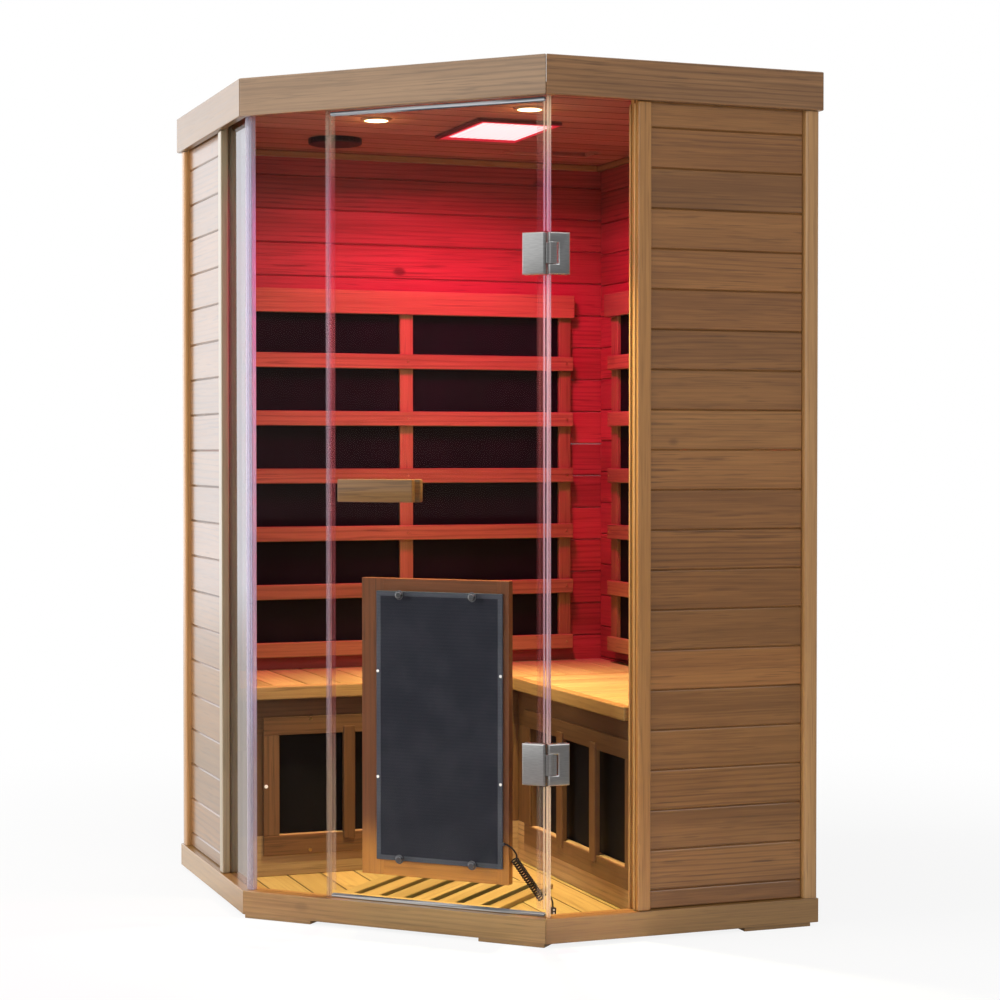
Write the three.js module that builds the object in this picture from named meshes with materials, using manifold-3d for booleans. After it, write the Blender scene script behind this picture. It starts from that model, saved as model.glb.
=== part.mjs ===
// Corner infrared sauna cabin: a square plan with one corner cut off for a glass door.
// Millimetres, Z up. X runs along the back wall to the right, Y runs towards the back wall.
// The origin lies on the room floor under the middle of the square plan.
import * as THREE from 'three';
import { mergeVertices } from 'three/addons/utils/BufferGeometryUtils.js';
import Module from 'manifold-3d';

// Plan and heights
const CABIN_SIDE = 1200;
const CORNER_CUT = 535;
const TOTAL_HEIGHT = 1908;
const FOOT_HEIGHT = 8;
const PLINTH_TOP = 62;
const FLOOR_BOTTOM = 20;
const FLOOR_TOP = 46;
const FASCIA_BOTTOM = 1822;
const CEILING_BOTTOM = 1834;
const CEILING_TOP = 1852;
const FIT_GAP = 0.4;

// Depths measured inwards from the roof outline
const FASCIA_THICK = 18;
const PLINTH_INSET = 5;
const POST_INSET = 9;
const CLADDING_INSET = FASCIA_THICK + FIT_GAP;
const FLANK_PANEL_INSET = 22;
const GLASS_INSET = 28;
const GLASS_THICK = 6;
const LINING_INSET = 52;
const GLASS_SLACK = 0.3;

// Flank walls beside the door, measured from the door corner along the flank
const FLANK_LENGTH = CABIN_SIDE - CORNER_CUT;
const JAMB_START = 218.5;
const JAMB_WIDTH = 31.5;
const GLASS_GROOVE = 13.5;
const FRONT_POST = [625, 660];
const REAR_POST = [621, 656];
const LEFT_PANE_START = 22;

// Glass across the cut corner, measured from its left end
const FIXED_PANE_START = 22;
const FIXED_PANE_END = 213;
const DOOR_START = 218;

// Door hinge axis in the frame of the cut corner
const HINGE_ALONG = 753;
const HINGE_INSET = 33.2;
const HINGE_HEIGHTS = { bottom: 390, top: 1488 };
const HINGE_HALF = 45;
const KNUCKLE_HALF = 22;
const KNUCKLE_RADIUS = 8;
const PIN_RADIUS = 3;
const PIN_BORE = 3.2;

// Door leaf and what it carries, along the door from the hinge axis
const DOOR_BOTTOM = 66;
const DOOR_TOP = 1819;
const DOOR_EDGE = 10;
const LEAF_END = 62;
const LEAF_GLASS_EDGE = 16;
const HANDLE_SPAN = [318, 505];
const HANDLE_BOLTS = [350, 473];
const HANDLE_HEIGHT = [951.5, 1002.5];
const HANDLE_THICK = 15;
const HANDLE_STANDOFF = 9;
const STUD_ALONG = [184, 362];
const STUD_HEIGHTS = [160, 746.5];

// Guards over the wall heaters
const GUARD_FRONT = 88;
const STILE_FRONT = 73;
const HEATER_THICK = 8;
const RAIL_HEIGHT = [1420, 1481];
const SLAT_COUNT = 6;
const SLAT_LOWEST = 536.5;
const SLAT_HEIGHT = 38;
const SLAT_PITCH = 148.5;

// Bench
const SEAT_HEIGHT = [472, 504];
const SEAT_FRONT = 457;
const BENCH_BOARD = [419, 437];
const BENCH_WINDOW = [144, 385];
const BENCH_FRAME = [96, 428];
const BENCH_FRAME_SIDE = 39;

// Floor grille in the frame of the cut corner
const GRILLE_ALONG = [201, 604];
const GRILLE_DEPTH = [84, 396];
const GRILLE_THICK = 12;
const GRILLE_RAIL = 22;
const GRILLE_GAPS = 6;
const GRILLE_GAP_START = 233;
const GRILLE_GAP_PITCH = 63.8;
const GRILLE_GAP_WIDTH = 21;

// Curly cord
const CORD_RADIUS = 1.9;
const CURL_RADIUS = 7.3;
const CURL_COUNT = 17.5;
const CURL_STEPS = 8;
const LEAD_STEPS = 16;
const CORD_SIDES = 5;

// Booleans on closed meshes
const wasm = await Module();
wasm.setup();

function toSolid(geometry) {
  const plain = geometry.clone();
  plain.deleteAttribute('normal');
  plain.deleteAttribute('uv');
  const merged = mergeVertices(plain, 1e-4);
  const vertProperties = new Float32Array(merged.attributes.position.array);
  const triVerts = new Uint32Array(merged.index.array);
  return new wasm.Manifold(new wasm.Mesh({ numProp: 3, vertProperties, triVerts }));
}

function toGeometry(solid) {
  const mesh = solid.getMesh();
  const geometry = new THREE.BufferGeometry();
  geometry.setAttribute('position', new THREE.BufferAttribute(mesh.vertProperties, 3));
  geometry.setIndex(new THREE.BufferAttribute(mesh.triVerts, 1));
  geometry.computeVertexNormals();
  return geometry;
}

function join(...geometries) {
  return toGeometry(geometries.map(toSolid).reduce((sum, next) => sum.add(next)));
}

function cut(base, ...tools) {
  return toGeometry(tools.map(toSolid).reduce((rest, tool) => rest.subtract(tool), toSolid(base)));
}

// Simple solids between limits
function box([x0, x1], [y0, y1], [z0, z1]) {
  const geometry = new THREE.BoxGeometry(x1 - x0, y1 - y0, z1 - z0);
  return geometry.translate((x0 + x1) / 2, (y0 + y1) / 2, (z0 + z1) / 2);
}

function prism(points, [z0, z1]) {
  const shape = new THREE.Shape(points.map(([x, y]) => new THREE.Vector2(x, y)));
  const geometry = new THREE.ExtrudeGeometry(shape, { depth: z1 - z0, bevelEnabled: false });
  return geometry.translate(0, 0, z0);
}

function uprightRod([x, y], [z0, z1], radius, sides = 16) {
  const geometry = new THREE.CylinderGeometry(radius, radius, z1 - z0, sides);
  return geometry.rotateX(Math.PI / 2).translate(x, y, (z0 + z1) / 2);
}

function crossRod([x, z], [y0, y1], radius, sides = 16) {
  const geometry = new THREE.CylinderGeometry(radius, radius, y1 - y0, sides);
  return geometry.translate(x, (y0 + y1) / 2, z);
}

function turned(profile, [x, y], sides = 32) {
  const geometry = new THREE.LatheGeometry(profile.map(([r, z]) => new THREE.Vector2(r, z)), sides);
  return geometry.rotateX(Math.PI / 2).translate(x, y, 0);
}

// Materials
function finish(color, roughness, metalness = 0) {
  return new THREE.MeshStandardMaterial({ color, roughness, metalness });
}

const OUTER_WOOD = finish(0x86633f, 0.6);
const INNER_WOOD = finish(0xb9834c, 0.6);
const GLASS = finish(0xcfdcdc, 0.05);
const CLEAR_SEAL = finish(0xdcd8e4, 0.2);
const SATIN_METAL = finish(0xb8b8b4, 0.35, 1);
const HEATER_BLACK = finish(0x17161a, 0.5);
const HEATER_GREY = finish(0x33363e, 0.45);
const BLACK_PLASTIC = finish(0x141414, 0.5);
const LAMP_LENS = finish(0xfff0d8, 0.3);

// The outline has five corners, walked anticlockwise from above
const HALF = CABIN_SIDE / 2;
const CUT_END = HALF - CORNER_CUT;
const OUTLINE = [[-HALF, HALF], [-HALF, -CUT_END], [-CUT_END, -HALF], [HALF, -HALF], [HALF, HALF]];
const DOOR_SIDE_LENGTH = CORNER_CUT * Math.SQRT2;
const CUT_MITRE = Math.tan(Math.PI / 8);
const SQUARE_MITRE = 1;

const cabin = new THREE.Group();

// Each side has its own frame: X along the side, Y inwards, with mitre slopes at both ends
function makeSide(index, length, startSlope, endSlope) {
  const start = OUTLINE[index];
  const end = OUTLINE[(index + 1) % OUTLINE.length];
  const group = new THREE.Group();
  group.position.set(start[0], start[1], 0);
  group.rotation.z = Math.atan2(end[1] - start[1], end[0] - start[0]);
  cabin.add(group);
  return { group, length, startSlope, endSlope };
}

const left = makeSide(0, FLANK_LENGTH, SQUARE_MITRE, CUT_MITRE);
const door = makeSide(1, DOOR_SIDE_LENGTH, CUT_MITRE, CUT_MITRE);
const front = makeSide(2, FLANK_LENGTH, CUT_MITRE, SQUARE_MITRE);
const right = makeSide(3, CABIN_SIDE, SQUARE_MITRE, SQUARE_MITRE);
const back = makeSide(4, CABIN_SIDE, SQUARE_MITRE, SQUARE_MITRE);

function add(parent, name, geometry, material) {
  const mesh = new THREE.Mesh(geometry, material);
  mesh.name = name;
  parent.add(mesh);
  return mesh;
}

function outlineAt(inset) {
  const slip = inset * CUT_MITRE;
  return [
    [-HALF + inset, HALF - inset],
    [-HALF + inset, -CUT_END + slip],
    [-CUT_END + slip, -HALF + inset],
    [HALF - inset, -HALF + inset],
    [HALF - inset, HALF - inset],
  ];
}

// A board along one side between two insets, kept inside the mitres at both corners
function sideBoard(side, [outer, inner], heights, [start, end] = [0, side.length]) {
  const startAt = (inset) => Math.max(start, inset * side.startSlope + FIT_GAP);
  const endAt = (inset) => Math.min(end, side.length - inset * side.endSlope - FIT_GAP);
  const points = [
    [startAt(outer), outer],
    [endAt(outer), outer],
    [endAt(inner), inner],
    [startAt(inner), inner],
  ];
  return prism(points, heights);
}

// Plinth beams with thin pads that the cabin stands on
const PAD_DEPTH = [PLINTH_INSET + 1, LINING_INSET - 2];
const PAD_HEIGHT = [0, FOOT_HEIGHT + 1];

function plinth(name, side, pads) {
  const beam = sideBoard(side, [PLINTH_INSET, LINING_INSET], [FOOT_HEIGHT, PLINTH_TOP]);
  const feet = pads.map((span) => sideBoard(side, PAD_DEPTH, PAD_HEIGHT, span));
  const geometry = feet.length > 0 ? join(beam, ...feet) : beam;
  add(side.group, name, geometry, OUTER_WOOD);
}

const DOOR_PADS = [[0, 177], [594, DOOR_SIDE_LENGTH]];
const FRONT_PADS = [[476, 640]];
const BACK_PADS = [[60, 220], [980, 1140]];
plinth('plinth_left', left, []);
plinth('plinth_door', door, DOOR_PADS);
plinth('plinth_front', front, FRONT_PADS);
plinth('plinth_right', right, []);
plinth('plinth_back', back, BACK_PADS);

// Floor of boards with a well for the foot heater, and a slatted grille that lies over the well
const WELL_BOTTOM = 24;
const WELL_MARGIN = 12;
const HEATER_MARGIN = 16;
const FLOOR_HEATER_TOP = 31;
const GRILLE_HEIGHT = [FLOOR_TOP + FIT_GAP, FLOOR_TOP + FIT_GAP + GRILLE_THICK];

function grown([low, high], by) {
  return [low - by, high + by];
}

function around(middle, half) {
  return [middle - half, middle + half];
}

const floorPlate = prism(outlineAt(LINING_INSET + FIT_GAP), [FLOOR_BOTTOM, FLOOR_TOP]);
const wellHeight = [WELL_BOTTOM, FLOOR_TOP + 1];
const well = box(grown(GRILLE_ALONG, -WELL_MARGIN), grown(GRILLE_DEPTH, -WELL_MARGIN), wellHeight);
door.group.updateMatrix();
well.applyMatrix4(door.group.matrix);
add(cabin, 'floor_panel', cut(floorPlate, well), INNER_WOOD);
const floorHeaterHeight = [WELL_BOTTOM + FIT_GAP, FLOOR_HEATER_TOP];
const floorHeaterAlong = grown(GRILLE_ALONG, -HEATER_MARGIN);
const floorHeater = box(floorHeaterAlong, grown(GRILLE_DEPTH, -HEATER_MARGIN), floorHeaterHeight);
add(door.group, 'floor_heater', floorHeater, HEATER_BLACK);

const grilleGaps = [];
for (let i = 0; i < GRILLE_GAPS; i += 1) {
  const start = GRILLE_GAP_START + i * GRILLE_GAP_PITCH;
  const gap = [start, start + GRILLE_GAP_WIDTH];
  grilleGaps.push(box(gap, grown(GRILLE_DEPTH, -GRILLE_RAIL), grown(GRILLE_HEIGHT, 1)));
}
const grillePlate = box(GRILLE_ALONG, GRILLE_DEPTH, GRILLE_HEIGHT);
add(door.group, 'floor_grille', cut(grillePlate, ...grilleGaps), INNER_WOOD);

// Wall panels, closed behind the fascia
const WALL_HEIGHT = [PLINTH_TOP + FIT_GAP, CEILING_BOTTOM - FIT_GAP];
const WALL_DEPTH = [CLADDING_INSET, LINING_INSET];
const POST_DEPTH = [POST_INSET, LINING_INSET];
const BACK_WALL_END = LINING_INSET + FIT_GAP;

const backSpan = [CLADDING_INSET, CABIN_SIDE - BACK_WALL_END];
add(back.group, 'wall_back', box(backSpan, WALL_DEPTH, WALL_HEIGHT), OUTER_WOOD);
const rightSpan = [BACK_WALL_END, CABIN_SIDE - BACK_WALL_END];
add(right.group, 'wall_right', box(rightSpan, WALL_DEPTH, WALL_HEIGHT), OUTER_WOOD);

// Two flanks beside the door mirror each other: jamb with a glass groove, panel, corner post, pane
const UNDER_FASCIA = [FASCIA_BOTTOM - FIT_GAP, CEILING_BOTTOM];
const PANE_DEPTH = [GLASS_INSET, GLASS_INSET + GLASS_THICK];
const JAMB_END = JAMB_START + JAMB_WIDTH;

function flank(side, mirrored, postSpan, names) {
  const span = ([a, b]) => (mirrored ? [FLANK_LENGTH - b, FLANK_LENGTH - a] : [a, b]);
  const fasciaSlot = box([-1, FLANK_LENGTH + 1], [0, CLADDING_INSET], UNDER_FASCIA);
  const grooveSpan = span([JAMB_START - 1, JAMB_START + GLASS_GROOVE]);
  const groove = box(grooveSpan, grown(PANE_DEPTH, GLASS_SLACK), [0, TOTAL_HEIGHT]);
  const jamb = box(span([JAMB_START, JAMB_END]), POST_DEPTH, WALL_HEIGHT);
  add(side.group, names.jamb, cut(jamb, groove, fasciaSlot), OUTER_WOOD);
  const panelSpan = span([JAMB_END + FIT_GAP, postSpan[0] - FIT_GAP]);
  add(side.group, names.panel, box(panelSpan, [FLANK_PANEL_INSET, LINING_INSET], WALL_HEIGHT), OUTER_WOOD);
  const post = box(span(postSpan), POST_DEPTH, WALL_HEIGHT);
  const endSpan = span([FLANK_LENGTH - CLADDING_INSET, FLANK_LENGTH]);
  const endSlot = box(endSpan, [0, LINING_INSET + 1], UNDER_FASCIA);
  add(side.group, names.post, cut(post, fasciaSlot, endSlot), OUTER_WOOD);
}

flank(front, false, FRONT_POST, { jamb: 'jamb_front', panel: 'wall_front', post: 'corner_post_front' });
flank(left, true, REAR_POST, { jamb: 'jamb_left', panel: 'wall_left', post: 'corner_post_rear' });

// Roof: fascia boards round a ceiling panel, with the control box on top
const FASCIA_SPAN = [FASCIA_BOTTOM, TOTAL_HEIGHT];
const FASCIA_DEPTH = [0, FASCIA_THICK];
add(left.group, 'fascia_left', sideBoard(left, FASCIA_DEPTH, FASCIA_SPAN), OUTER_WOOD);
add(door.group, 'fascia_door', sideBoard(door, FASCIA_DEPTH, FASCIA_SPAN), OUTER_WOOD);
add(front.group, 'fascia_front', sideBoard(front, FASCIA_DEPTH, FASCIA_SPAN), OUTER_WOOD);

const FASCIA_INNER = HALF - FASCIA_THICK;
const fasciaRear = prism([
  [HALF, -HALF + FIT_GAP],
  [HALF, HALF],
  [-HALF + FIT_GAP, HALF],
  [-FASCIA_INNER + FIT_GAP, FASCIA_INNER],
  [FASCIA_INNER, FASCIA_INNER],
  [FASCIA_INNER, -FASCIA_INNER + FIT_GAP],
], FASCIA_SPAN);
add(cabin, 'fascia_rear', fasciaRear, OUTER_WOOD);

// Ceiling panel with a vent: a slider runs in a slot held by two lips
const VENT_SLOT_X = [204, 440];
const VENT_SLOT_Y = [272, 400];
const VENT_LIP = 8;
const VENT_SLOT_Z = [1838, 1846];
const VENT_HOLE_X = [214, 314];
const VENT_HOLE_Y = [290, 382];
const SLIDER_LENGTH = 120;
const SLIDER_START = VENT_SLOT_X[0] + 2;
const GRIP_X = [302, 312];

const ceilingPlate = prism(outlineAt(CLADDING_INSET), [CEILING_BOTTOM, CEILING_TOP]);
const ventSlot = box(VENT_SLOT_X, VENT_SLOT_Y, VENT_SLOT_Z);
const ventMouth = box(VENT_SLOT_X, grown(VENT_SLOT_Y, -VENT_LIP), [CEILING_BOTTOM - 1, VENT_SLOT_Z[0] + 1]);
const ventHole = box(VENT_HOLE_X, VENT_HOLE_Y, [VENT_SLOT_Z[1] - 1, CEILING_TOP + 1]);
add(cabin, 'ceiling_panel', cut(ceilingPlate, ventSlot, ventMouth, ventHole), INNER_WOOD);

const sliderPlate = box(
  [SLIDER_START, SLIDER_START + SLIDER_LENGTH],
  grown(VENT_SLOT_Y, -0.5),
  grown(VENT_SLOT_Z, -FIT_GAP),
);
const sliderGrip = box(GRIP_X, grown(VENT_HOLE_Y, -12), [CEILING_BOTTOM + 0.5, VENT_SLOT_Z[0] + 1]);
add(cabin, 'vent_slider', join(sliderPlate, sliderGrip), INNER_WOOD);

const CONTROL_X = [-330, -50];
const CONTROL_Y = [300, 480];
const CONTROL_HEIGHT = [CEILING_TOP + FIT_GAP, 1894];
const CABLE_INLET = [-260, 1872];
const controlCase = box(CONTROL_X, CONTROL_Y, CONTROL_HEIGHT);
const cableInlet = crossRod(CABLE_INLET, [CONTROL_Y[1] - 1, CONTROL_Y[1] + 16], 9);
add(cabin, 'control_box', join(controlCase, cableInlet), BLACK_PLASTIC);

// Fixed panes of glass
const frontPaneStart = 24;
const paneEnd = JAMB_START + GLASS_GROOVE - 1;
const LEAF_NOTCH = 38;
const hingeNotches = Object.values(HINGE_HEIGHTS).map((height) => (
  box([0, LEAF_NOTCH], [0, LINING_INSET], around(height, HINGE_HALF + FIT_GAP))
));
const frontPane = box([frontPaneStart, paneEnd], PANE_DEPTH, WALL_HEIGHT);
add(front.group, 'front_sidelight', cut(frontPane, ...hingeNotches), GLASS);
const leftPaneSpan = [FLANK_LENGTH - paneEnd, FLANK_LENGTH - LEFT_PANE_START];
add(left.group, 'left_sidelight', box(leftPaneSpan, PANE_DEPTH, WALL_HEIGHT), GLASS);
add(door.group, 'fixed_pane', box([FIXED_PANE_START, FIXED_PANE_END], PANE_DEPTH, WALL_HEIGHT), GLASS);

// Clear strips: a bead proud of the left glass corner, and the edge that the door closes against
const SEAL_DEPTH = [CLADDING_INSET + 0.2, GLASS_INSET + GLASS_THICK + 2];
const CLIP_DEPTH = [GLASS_INSET - 2.5, GLASS_INSET + GLASS_THICK + 2.5];
const CLIP_REACH = 5;
const STRIKE_END = FIXED_PANE_END + 3.6;

function besideDoorCorner(along, inset) {
  const turn = Math.PI / 4;
  const x = along * Math.cos(turn) - inset * Math.sin(turn);
  const y = along * Math.sin(turn) + inset * Math.cos(turn);
  return [-x, y];
}

const leftEdge = LEFT_PANE_START - FIT_GAP;
const cornerSeal = prism([
  besideDoorCorner(leftEdge, SEAL_DEPTH[0]),
  [SEAL_DEPTH[0] * CUT_MITRE, SEAL_DEPTH[0]],
  [FIXED_PANE_START - FIT_GAP, SEAL_DEPTH[0]],
  [FIXED_PANE_START - FIT_GAP, SEAL_DEPTH[1]],
  [SEAL_DEPTH[1] * CUT_MITRE, SEAL_DEPTH[1]],
  besideDoorCorner(leftEdge, SEAL_DEPTH[1]),
], WALL_HEIGHT);
add(door.group, 'corner_seal', cornerSeal, CLEAR_SEAL);

const strikeClip = box([FIXED_PANE_END - CLIP_REACH, STRIKE_END], CLIP_DEPTH, WALL_HEIGHT);
const strikeSlot = box([0, FIXED_PANE_END + FIT_GAP], grown(PANE_DEPTH, FIT_GAP), [0, TOTAL_HEIGHT]);
add(door.group, 'strike_seal', cut(strikeClip, strikeSlot), CLEAR_SEAL);

// Hinge halves on the fixed pane, in a frame at the hinge axis
const hingeFrame = new THREE.Group();
hingeFrame.position.set(HINGE_ALONG, HINGE_INSET, 0);
hingeFrame.rotation.z = Math.PI / 4;
door.group.add(hingeFrame);

const PANE_FROM_AXIS = [1.98, 7.98];
const PANE_SLOT = grown(PANE_FROM_AXIS, GLASS_SLACK);
const PANE_SLOT_START = 16.8;
const FIXED_PLATE_END = 43;
const FIXED_PLATE_FACES = [-6, 16];
const FIXED_LEAF = [
  [-6, FIXED_PLATE_FACES[0]],
  [FIXED_PLATE_END, FIXED_PLATE_FACES[0]],
  [FIXED_PLATE_END, PANE_SLOT[0]],
  [PANE_SLOT_START, PANE_SLOT[0]],
  [PANE_SLOT_START, PANE_SLOT[1]],
  [FIXED_PLATE_END, PANE_SLOT[1]],
  [FIXED_PLATE_END, FIXED_PLATE_FACES[1]],
  [6, FIXED_PLATE_FACES[1]],
  [6, 8.2],
  [-2, 8.2],
  [-6, 3],
];
const KNUCKLE_NOTCH_X = [-7, 16.2];
const KNUCKLE_NOTCH_Y = [-7, 17];
const PIN_GRIP = 8;
const ROUND_SIDES = 24;
const AXIS = [0, 0];

for (const [place, height] of Object.entries(HINGE_HEIGHTS)) {
  const leaf = prism(FIXED_LEAF, around(height, HINGE_HALF));
  const notch = box(KNUCKLE_NOTCH_X, KNUCKLE_NOTCH_Y, around(height, KNUCKLE_HALF + FIT_GAP));
  const pin = uprightRod(AXIS, around(height, KNUCKLE_HALF + PIN_GRIP), PIN_RADIUS, ROUND_SIDES);
  add(hingeFrame, `${place}_hinge_fixed_leaf`, join(cut(leaf, notch), pin), SATIN_METAL);
}

// Clear bead in the hinge corner, broken at both hinges: a bulb, round on the side that the door
// turns past, on a thin web that reaches the fixed pane
const BEAD_RADIUS = 9.2;
const BEAD_STEPS = 8;
const BEAD_ARC = [Math.PI * 0.58, Math.PI * 1.27];
const BEAD_FLAT_X = -1.2;
const BEAD_FACES = [-6, 8.6];
const WEB_END = 2.5;
const WEB_FACE = 5.4;
const HINGE_SEAL = [[WEB_END, BEAD_FACES[1]]];
for (let i = 0; i <= BEAD_STEPS; i += 1) {
  const turn = BEAD_ARC[0] + ((BEAD_ARC[1] - BEAD_ARC[0]) * i) / BEAD_STEPS;
  HINGE_SEAL.push([BEAD_RADIUS * Math.cos(turn), BEAD_RADIUS * Math.sin(turn)]);
}
HINGE_SEAL.push([BEAD_FLAT_X, BEAD_FACES[0]]);
HINGE_SEAL.push([BEAD_FLAT_X, WEB_FACE]);
HINGE_SEAL.push([WEB_END, WEB_FACE]);
const SEAL_CLEAR = HINGE_HALF + 1;
const hingeSeals = {
  hinge_seal_bottom: [WALL_HEIGHT[0], HINGE_HEIGHTS.bottom - SEAL_CLEAR],
  hinge_seal_middle: [HINGE_HEIGHTS.bottom + SEAL_CLEAR, HINGE_HEIGHTS.top - SEAL_CLEAR],
  hinge_seal_top: [HINGE_HEIGHTS.top + SEAL_CLEAR, WALL_HEIGHT[1]],
};
for (const [name, heights] of Object.entries(hingeSeals)) {
  add(hingeFrame, name, prism(HINGE_SEAL, heights), CLEAR_SEAL);
}

// The door has its own frame: X along the door from the hinge axis, Y outwards
const leafFrame = new THREE.Group();
leafFrame.position.set(HINGE_ALONG, HINGE_INSET, 0);
leafFrame.rotation.z = Math.PI;
door.group.add(leafFrame);

const DOOR_FACE_OUT = HINGE_INSET - GLASS_INSET;
const DOOR_FACE_IN = DOOR_FACE_OUT - GLASS_THICK;
const DOOR_DEPTH = [DOOR_FACE_IN, DOOR_FACE_OUT];
const DOOR_END = HINGE_ALONG - DOOR_START;
const PLATE_THICK = 8;
const STUD_HOLE = 4.6;
const BOLT_HOLE = 4.5;
const BOLT_RADIUS = 4;
const handleMiddle = (HANDLE_HEIGHT[0] + HANDLE_HEIGHT[1]) / 2;
const studPlaces = STUD_ALONG.flatMap((along) => STUD_HEIGHTS.map((height) => [along, height]));
const boltPlaces = HANDLE_BOLTS.map((along) => [along, handleMiddle]);
const throughGlass = grown(DOOR_DEPTH, 1);

const doorNotches = Object.values(HINGE_HEIGHTS).map((height) => (
  box([0, LEAF_GLASS_EDGE + FIT_GAP], throughGlass, around(height, HINGE_HALF + FIT_GAP))
));
const doorHoles = [
  ...studPlaces.map((place) => crossRod(place, throughGlass, STUD_HOLE)),
  ...boltPlaces.map((place) => crossRod(place, throughGlass, BOLT_HOLE)),
];
const doorPane = box([DOOR_EDGE, DOOR_END], DOOR_DEPTH, [DOOR_BOTTOM, DOOR_TOP]);
add(leafFrame, 'door_glass', cut(doorPane, ...doorNotches, ...doorHoles), GLASS);

// Hinge halves on the door, each with the knuckle that turns on the pin; a flat face on the knuckle
// closes the notch in the fixed half
const LEAF_START = 9.2;
const TONGUE = [[0, LEAF_START + 2], [-5, 5]];
const KNUCKLE_FACE_X = [-12, 12.2];
const KNUCKLE_FACE_Y = [FIXED_PLATE_FACES[0], -1];

function fromHingeFrame([x, y]) {
  return [(y - x) * Math.SQRT1_2, -(x + y) * Math.SQRT1_2];
}

const knuckleFace = [
  fromHingeFrame([KNUCKLE_FACE_X[0], KNUCKLE_FACE_Y[0]]),
  fromHingeFrame([KNUCKLE_FACE_X[1], KNUCKLE_FACE_Y[0]]),
  fromHingeFrame([KNUCKLE_FACE_X[1], KNUCKLE_FACE_Y[1]]),
  fromHingeFrame([KNUCKLE_FACE_X[0], KNUCKLE_FACE_Y[1]]),
];

for (const [place, height] of Object.entries(HINGE_HEIGHTS)) {
  const span = around(height, HINGE_HALF);
  const knuckleSpan = around(height, KNUCKLE_HALF);
  const plate = box([LEAF_START, LEAF_END], grown(DOOR_DEPTH, PLATE_THICK), span);
  const slot = box([LEAF_GLASS_EDGE, LEAF_END + 1], grown(DOOR_DEPTH, GLASS_SLACK), grown(span, 1));
  const barrel = uprightRod(AXIS, knuckleSpan, KNUCKLE_RADIUS, ROUND_SIDES);
  const knuckle = join(barrel, box(...TONGUE, knuckleSpan), prism(knuckleFace, knuckleSpan));
  const bore = uprightRod(AXIS, grown(knuckleSpan, 1), PIN_BORE, ROUND_SIDES);
  add(leafFrame, `${place}_hinge_door_leaf`, cut(join(cut(plate, slot), knuckle), bore), SATIN_METAL);
}

// Clear channels on the door's top and bottom edges
const CHANNEL_SPAN = [12, DOOR_END - 2];
const CHANNEL_DEPTH = grown(DOOR_DEPTH, 1.7);
const channelInside = [DOOR_BOTTOM - FIT_GAP, DOOR_TOP + FIT_GAP];
const channelSlot = box([0, DOOR_END], grown(DOOR_DEPTH, GLASS_SLACK), channelInside);
const topChannel = box(CHANNEL_SPAN, CHANNEL_DEPTH, [DOOR_TOP - 7, DOOR_TOP + 2.4]);
const sweepChannel = box(CHANNEL_SPAN, CHANNEL_DEPTH, [DOOR_BOTTOM - 3, DOOR_BOTTOM + 4.5]);
add(leafFrame, 'door_top_strip', cut(topChannel, channelSlot), CLEAR_SEAL);
add(leafFrame, 'door_sweep', cut(sweepChannel, channelSlot), CLEAR_SEAL);

// Wooden handle blocks on standoffs, bolted through the glass
const STANDOFF_RADIUS = 7;
const outerBlock = [DOOR_FACE_OUT + HANDLE_STANDOFF, DOOR_FACE_OUT + HANDLE_STANDOFF + HANDLE_THICK];
const innerBlock = [DOOR_FACE_IN - HANDLE_STANDOFF - HANDLE_THICK, DOOR_FACE_IN - HANDLE_STANDOFF];
const outerReach = [DOOR_FACE_OUT + GLASS_SLACK, outerBlock[0] + 1];
const innerReach = [innerBlock[1] - 1, DOOR_FACE_IN - GLASS_SLACK];
const outerFeet = boltPlaces.map((place) => crossRod(place, outerReach, STANDOFF_RADIUS));
const innerFeet = boltPlaces.map((place) => crossRod(place, innerReach, STANDOFF_RADIUS));
const innerBolts = boltPlaces.map((place) => crossRod(place, [innerReach[0], DOOR_FACE_OUT], BOLT_RADIUS));
const outerHandle = join(box(HANDLE_SPAN, outerBlock, HANDLE_HEIGHT), ...outerFeet);
const innerHandle = join(box(HANDLE_SPAN, innerBlock, HANDLE_HEIGHT), ...innerFeet, ...innerBolts);
add(leafFrame, 'handle_outer', outerHandle, INNER_WOOD);
add(leafFrame, 'handle_inner', innerHandle, INNER_WOOD);

// Heater on the door: a wooden frame on four studs holds a heating panel with a grey back sheet
const SHEET_DEPTH = [HINGE_INSET - 46, HINGE_INSET - 40];
const FRAME_DEPTH = [HINGE_INSET - 66, HINGE_INSET - 46.4];
const SHEET_SPAN = [117, 426];
const SHEET_HEIGHT = [154, 754];
const FRAME_SPAN = [104, 465];
const FRAME_HEIGHT = [119, 782];
const FRAME_WINDOW = [[132, 411], [172, 735]];
const STUD_RADIUS = 4;
const STUD_CAP = 8;
const CAP_HEIGHT = 6;
const ELEMENT_BACK = FRAME_DEPTH[0] + 3;
const CORD_GLAND = [[113, SHEET_SPAN[0] + 1], SHEET_DEPTH, [205.5, 212.5]];

const frameRing = cut(
  box(FRAME_SPAN, FRAME_DEPTH, FRAME_HEIGHT),
  box(FRAME_WINDOW[0], grown(FRAME_DEPTH, 1), FRAME_WINDOW[1]),
);
const studs = studPlaces.map((place) => join(
  crossRod(place, [FRAME_DEPTH[0] + 5, DOOR_FACE_OUT + 2], STUD_RADIUS),
  crossRod(place, [DOOR_FACE_OUT + GLASS_SLACK, DOOR_FACE_OUT + CAP_HEIGHT], STUD_CAP),
  crossRod(place, [SHEET_DEPTH[1] + GLASS_SLACK, DOOR_FACE_IN - GLASS_SLACK], STUD_CAP - 2),
));
add(leafFrame, 'door_heater_frame', join(frameRing, ...studs), INNER_WOOD);

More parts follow.
